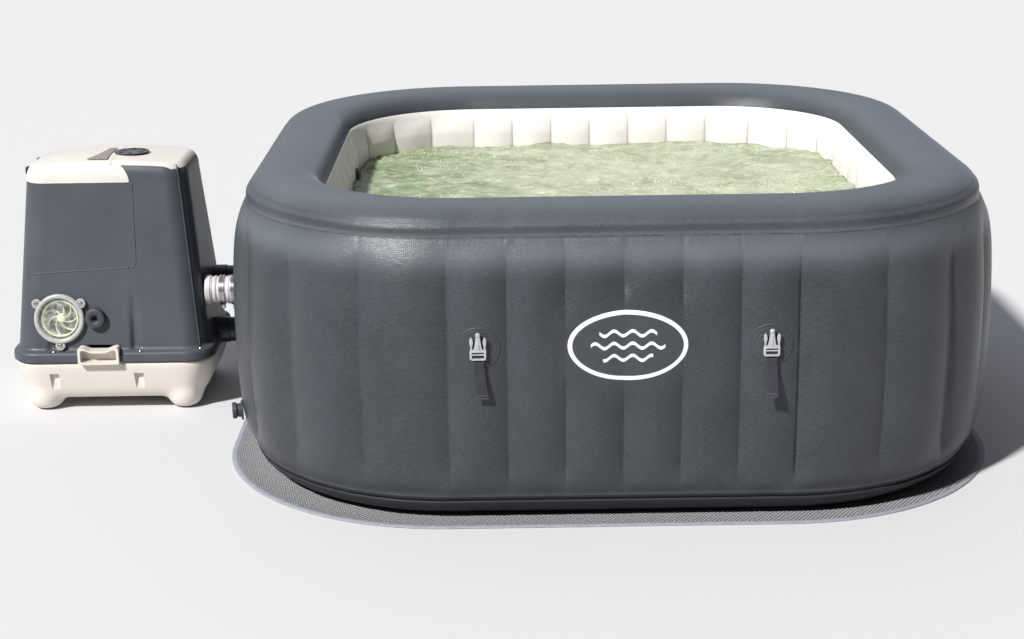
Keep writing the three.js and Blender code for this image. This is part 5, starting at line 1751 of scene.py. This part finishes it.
for label, (low, high) in zip(("pump", "tub"), clamp_boxes):
    middle = Vector(((low[0] + high[0]) / 2, hose_y, hose_z))
    half = (high[0] - low[0]) / 2
    placing = Matrix.Translation(middle) @ along_x
    band_profile = [(HOSE_RADIUS + 0.0003, -half), (HOSE_RADIUS + 0.0014, -half + 0.0004),
                    (HOSE_RADIUS + 0.0014, half - 0.0004), (HOSE_RADIUS + 0.0003, half)]
    band = ring_mesh(band_profile)
    house = moulded_plate(rounded_box(-0.0085, 0.0085, -0.0045, 0.0045, (0.002,) * 4), [], 0.013, 0.001)
    house.transform(Matrix.Translation((HOSE_RADIUS + 0.0052, 0, 0)) @ Matrix.Rotation(math.pi / 2, 4, "Z"))
    worm = turned_mesh([(0.0036, -0.010), (0.0042, -0.009), (0.0042, 0.009), (0.0036, 0.010)], 24)
    worm.transform(Matrix.Translation((HOSE_RADIUS + 0.0052, 0, 0)) @ Matrix.Rotation(math.pi / 2, 4, "X"))
    meshes = [band, house, worm]
    for mesh in meshes:
        mesh.transform(placing)
    clamp = joined(f"worm_band_{label}", meshes, zinc_steel)
    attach(clamp, "tub")
    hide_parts(f"hose_clamp_{label}")
    anchor = piece_from("anchor", [(0, 0, 0)], [], dark_abs)
    cuts = grown_by(slot_tree, anchor, f"band_slots_{label}", dark_abs, **{"Band radius": HOSE_RADIUS + 0.0011})
    bpy.data.objects.remove(anchor)
    cuts.data.transform(placing)
    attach(cuts, "tub")

# Black water pipe: extruded polythene, semi-gloss with drawn streaks along it
pipe_black, tree, shader = start_material("extruded_polythene", Roughness=0.35)
coords = add_node(tree, "ShaderNodeTexCoord")
drawn = add_node(tree, "ShaderNodeMapping", {"Vector": coords.outputs["Object"], "Scale": (4.0, 220.0, 220.0)})
streaks = add_node(tree, "ShaderNodeTexNoise", {"Vector": drawn.outputs[0], "Scale": 1.0, "Detail": 4.0})
tint = add_node(tree, "ShaderNodeMix", {
    "Factor": streaks.outputs["Fac"], 6: linear("#161617"), 7: linear("#2e2e30"),
}, data_type="RGBA")
bump = add_node(tree, "ShaderNodeBump", {
    "Height": streaks.outputs["Fac"], "Strength": 0.15, "Distance": 0.0006,
})
tree.links.new(tint.outputs[2], shader.inputs["Base Color"])
tree.links.new(bump.outputs[0], shader.inputs["Normal"])
for label in ("upper", "lower"):
    low, high = (Vector(corner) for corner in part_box(f"water_pipe_{label}"))
    radius = (high.z - low.z) / 2
    length = high.x - low.x
    profile = [(radius, 0), (radius, length * 0.28), (radius - 0.0022, length * 0.29),
               (radius - 0.0022, length * 0.86),
               (radius, length * 0.87), (radius, length)]
    mesh = turned_mesh(profile, 56)
    mesh.transform(Matrix.Translation((low.x, (low.y + high.y) / 2, (low.z + high.z) / 2)) @ along_x)
    pipe = joined(f"black_pipe_{label}", [mesh], pipe_black)
    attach(pipe, "tub")
    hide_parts(f"water_pipe_{label}")


# ---- jet port ----
# A charcoal ABS fitting clamped through the liner, with a slotted face that water leaves by.

port_low, port_high = (Vector(corner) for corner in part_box("jet_port"))
port_centre = Vector((port_low.x, (port_low.y + port_high.y) / 2, (port_low.z + port_high.z) / 2))
port_ring = ring_mesh([(0.0130, 0.000), (0.0290, 0.000), (0.0290, 0.0130), (0.0270, 0.0165), (0.0225, 0.0175),
                       (0.0190, 0.0160), (0.0175, 0.0120), (0.0130, 0.0110)], 64)
port_hub = turned_mesh([(0.0132, 0.002), (0.0132, 0.0085), (0.0118, 0.0115), (0.0070, 0.0128), (0.001, 0.0132)], 40)
vanes = []
for i in range(4):
    vane = moulded_plate(rounded_box(-0.0175, 0.0175, -0.0011, 0.0011, (0.0008,) * 4), [], 0.010, 0.0005)
    vane.transform(Matrix.Rotation(i * math.pi / 4, 4, "Z") @ Matrix.Translation((0, 0, 0.008))
                   @ Matrix.Rotation(math.pi / 2, 4, "X"))
    vanes.append(vane)
for mesh in (port_ring, port_hub, *vanes):
    mesh.transform(Matrix.Translation(port_centre) @ along_x)
port = joined("jet_port_face", [port_ring, port_hub, *vanes], dark_abs, 40)
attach(port, "tub")
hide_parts("jet_port")


# ---- small fittings and inner parts ----
# These keep their CAD shape and take the finish of the real part; only the lid's hinge
# leaves are drawn anew, with rounded corners.

# Soft taupe thermoplastic rubber of the grip insert, with a leather-like grain 1.2 mm across
taupe_rubber = moulded_abs("moulded_taupe_rubber", "#7d756f", "#9c948e", 0.6, 0.0012)
filter_paper = moulded_abs("pleated_polyester_filter", "#d9dde0", "#f2f4f5", 0.9, 0.0025)
circuit_green = moulded_abs("glass_fibre_circuit_board", "#1f4a33", "#2f6a49", 0.4, 0.002)
FINISHES = {
    cover_abs: ("blower_case",),
    white_abs: ("inflation_valve", "filter_housing"),
    taupe_rubber: ("grip_insert",),
    filter_paper: ("filter_cartridge",),
    circuit_green: ("circuit_board",),
    zinc_steel: ("heater_tube",),
    dark_abs: ("drain_valve", "drain_cap"),
    black_abs: ("inflation_cap", "cable_gland",
                "rear_grille", "blower_fan", "pump_motor"),
}
for finish, names in FINISHES.items():
    for name in names:
        nodes[name].data.materials[0] = finish

# Hinge leaves of the filter lid: short black ABS tabs
for name in ("lid_hinge_front", "lid_hinge_rear"):
    low, high = (Vector(corner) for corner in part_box(name))
    leaf_mesh = moulded_plate(rounded_box(-0.0125, 0.0125, 0, 0.019, (0.004,) * 4), [], high.x - low.x, 0.0009)
    leaf_mesh.transform(Matrix.Translation(((low.x + high.x) / 2, (low.y + high.y) / 2, low.z))
                        @ Matrix.Rotation(math.pi / 2, 4, "Z"))
    leaf = joined(name + "_leaf", [leaf_mesh], black_abs, 40)
    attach(leaf, "tub")
    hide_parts(name)
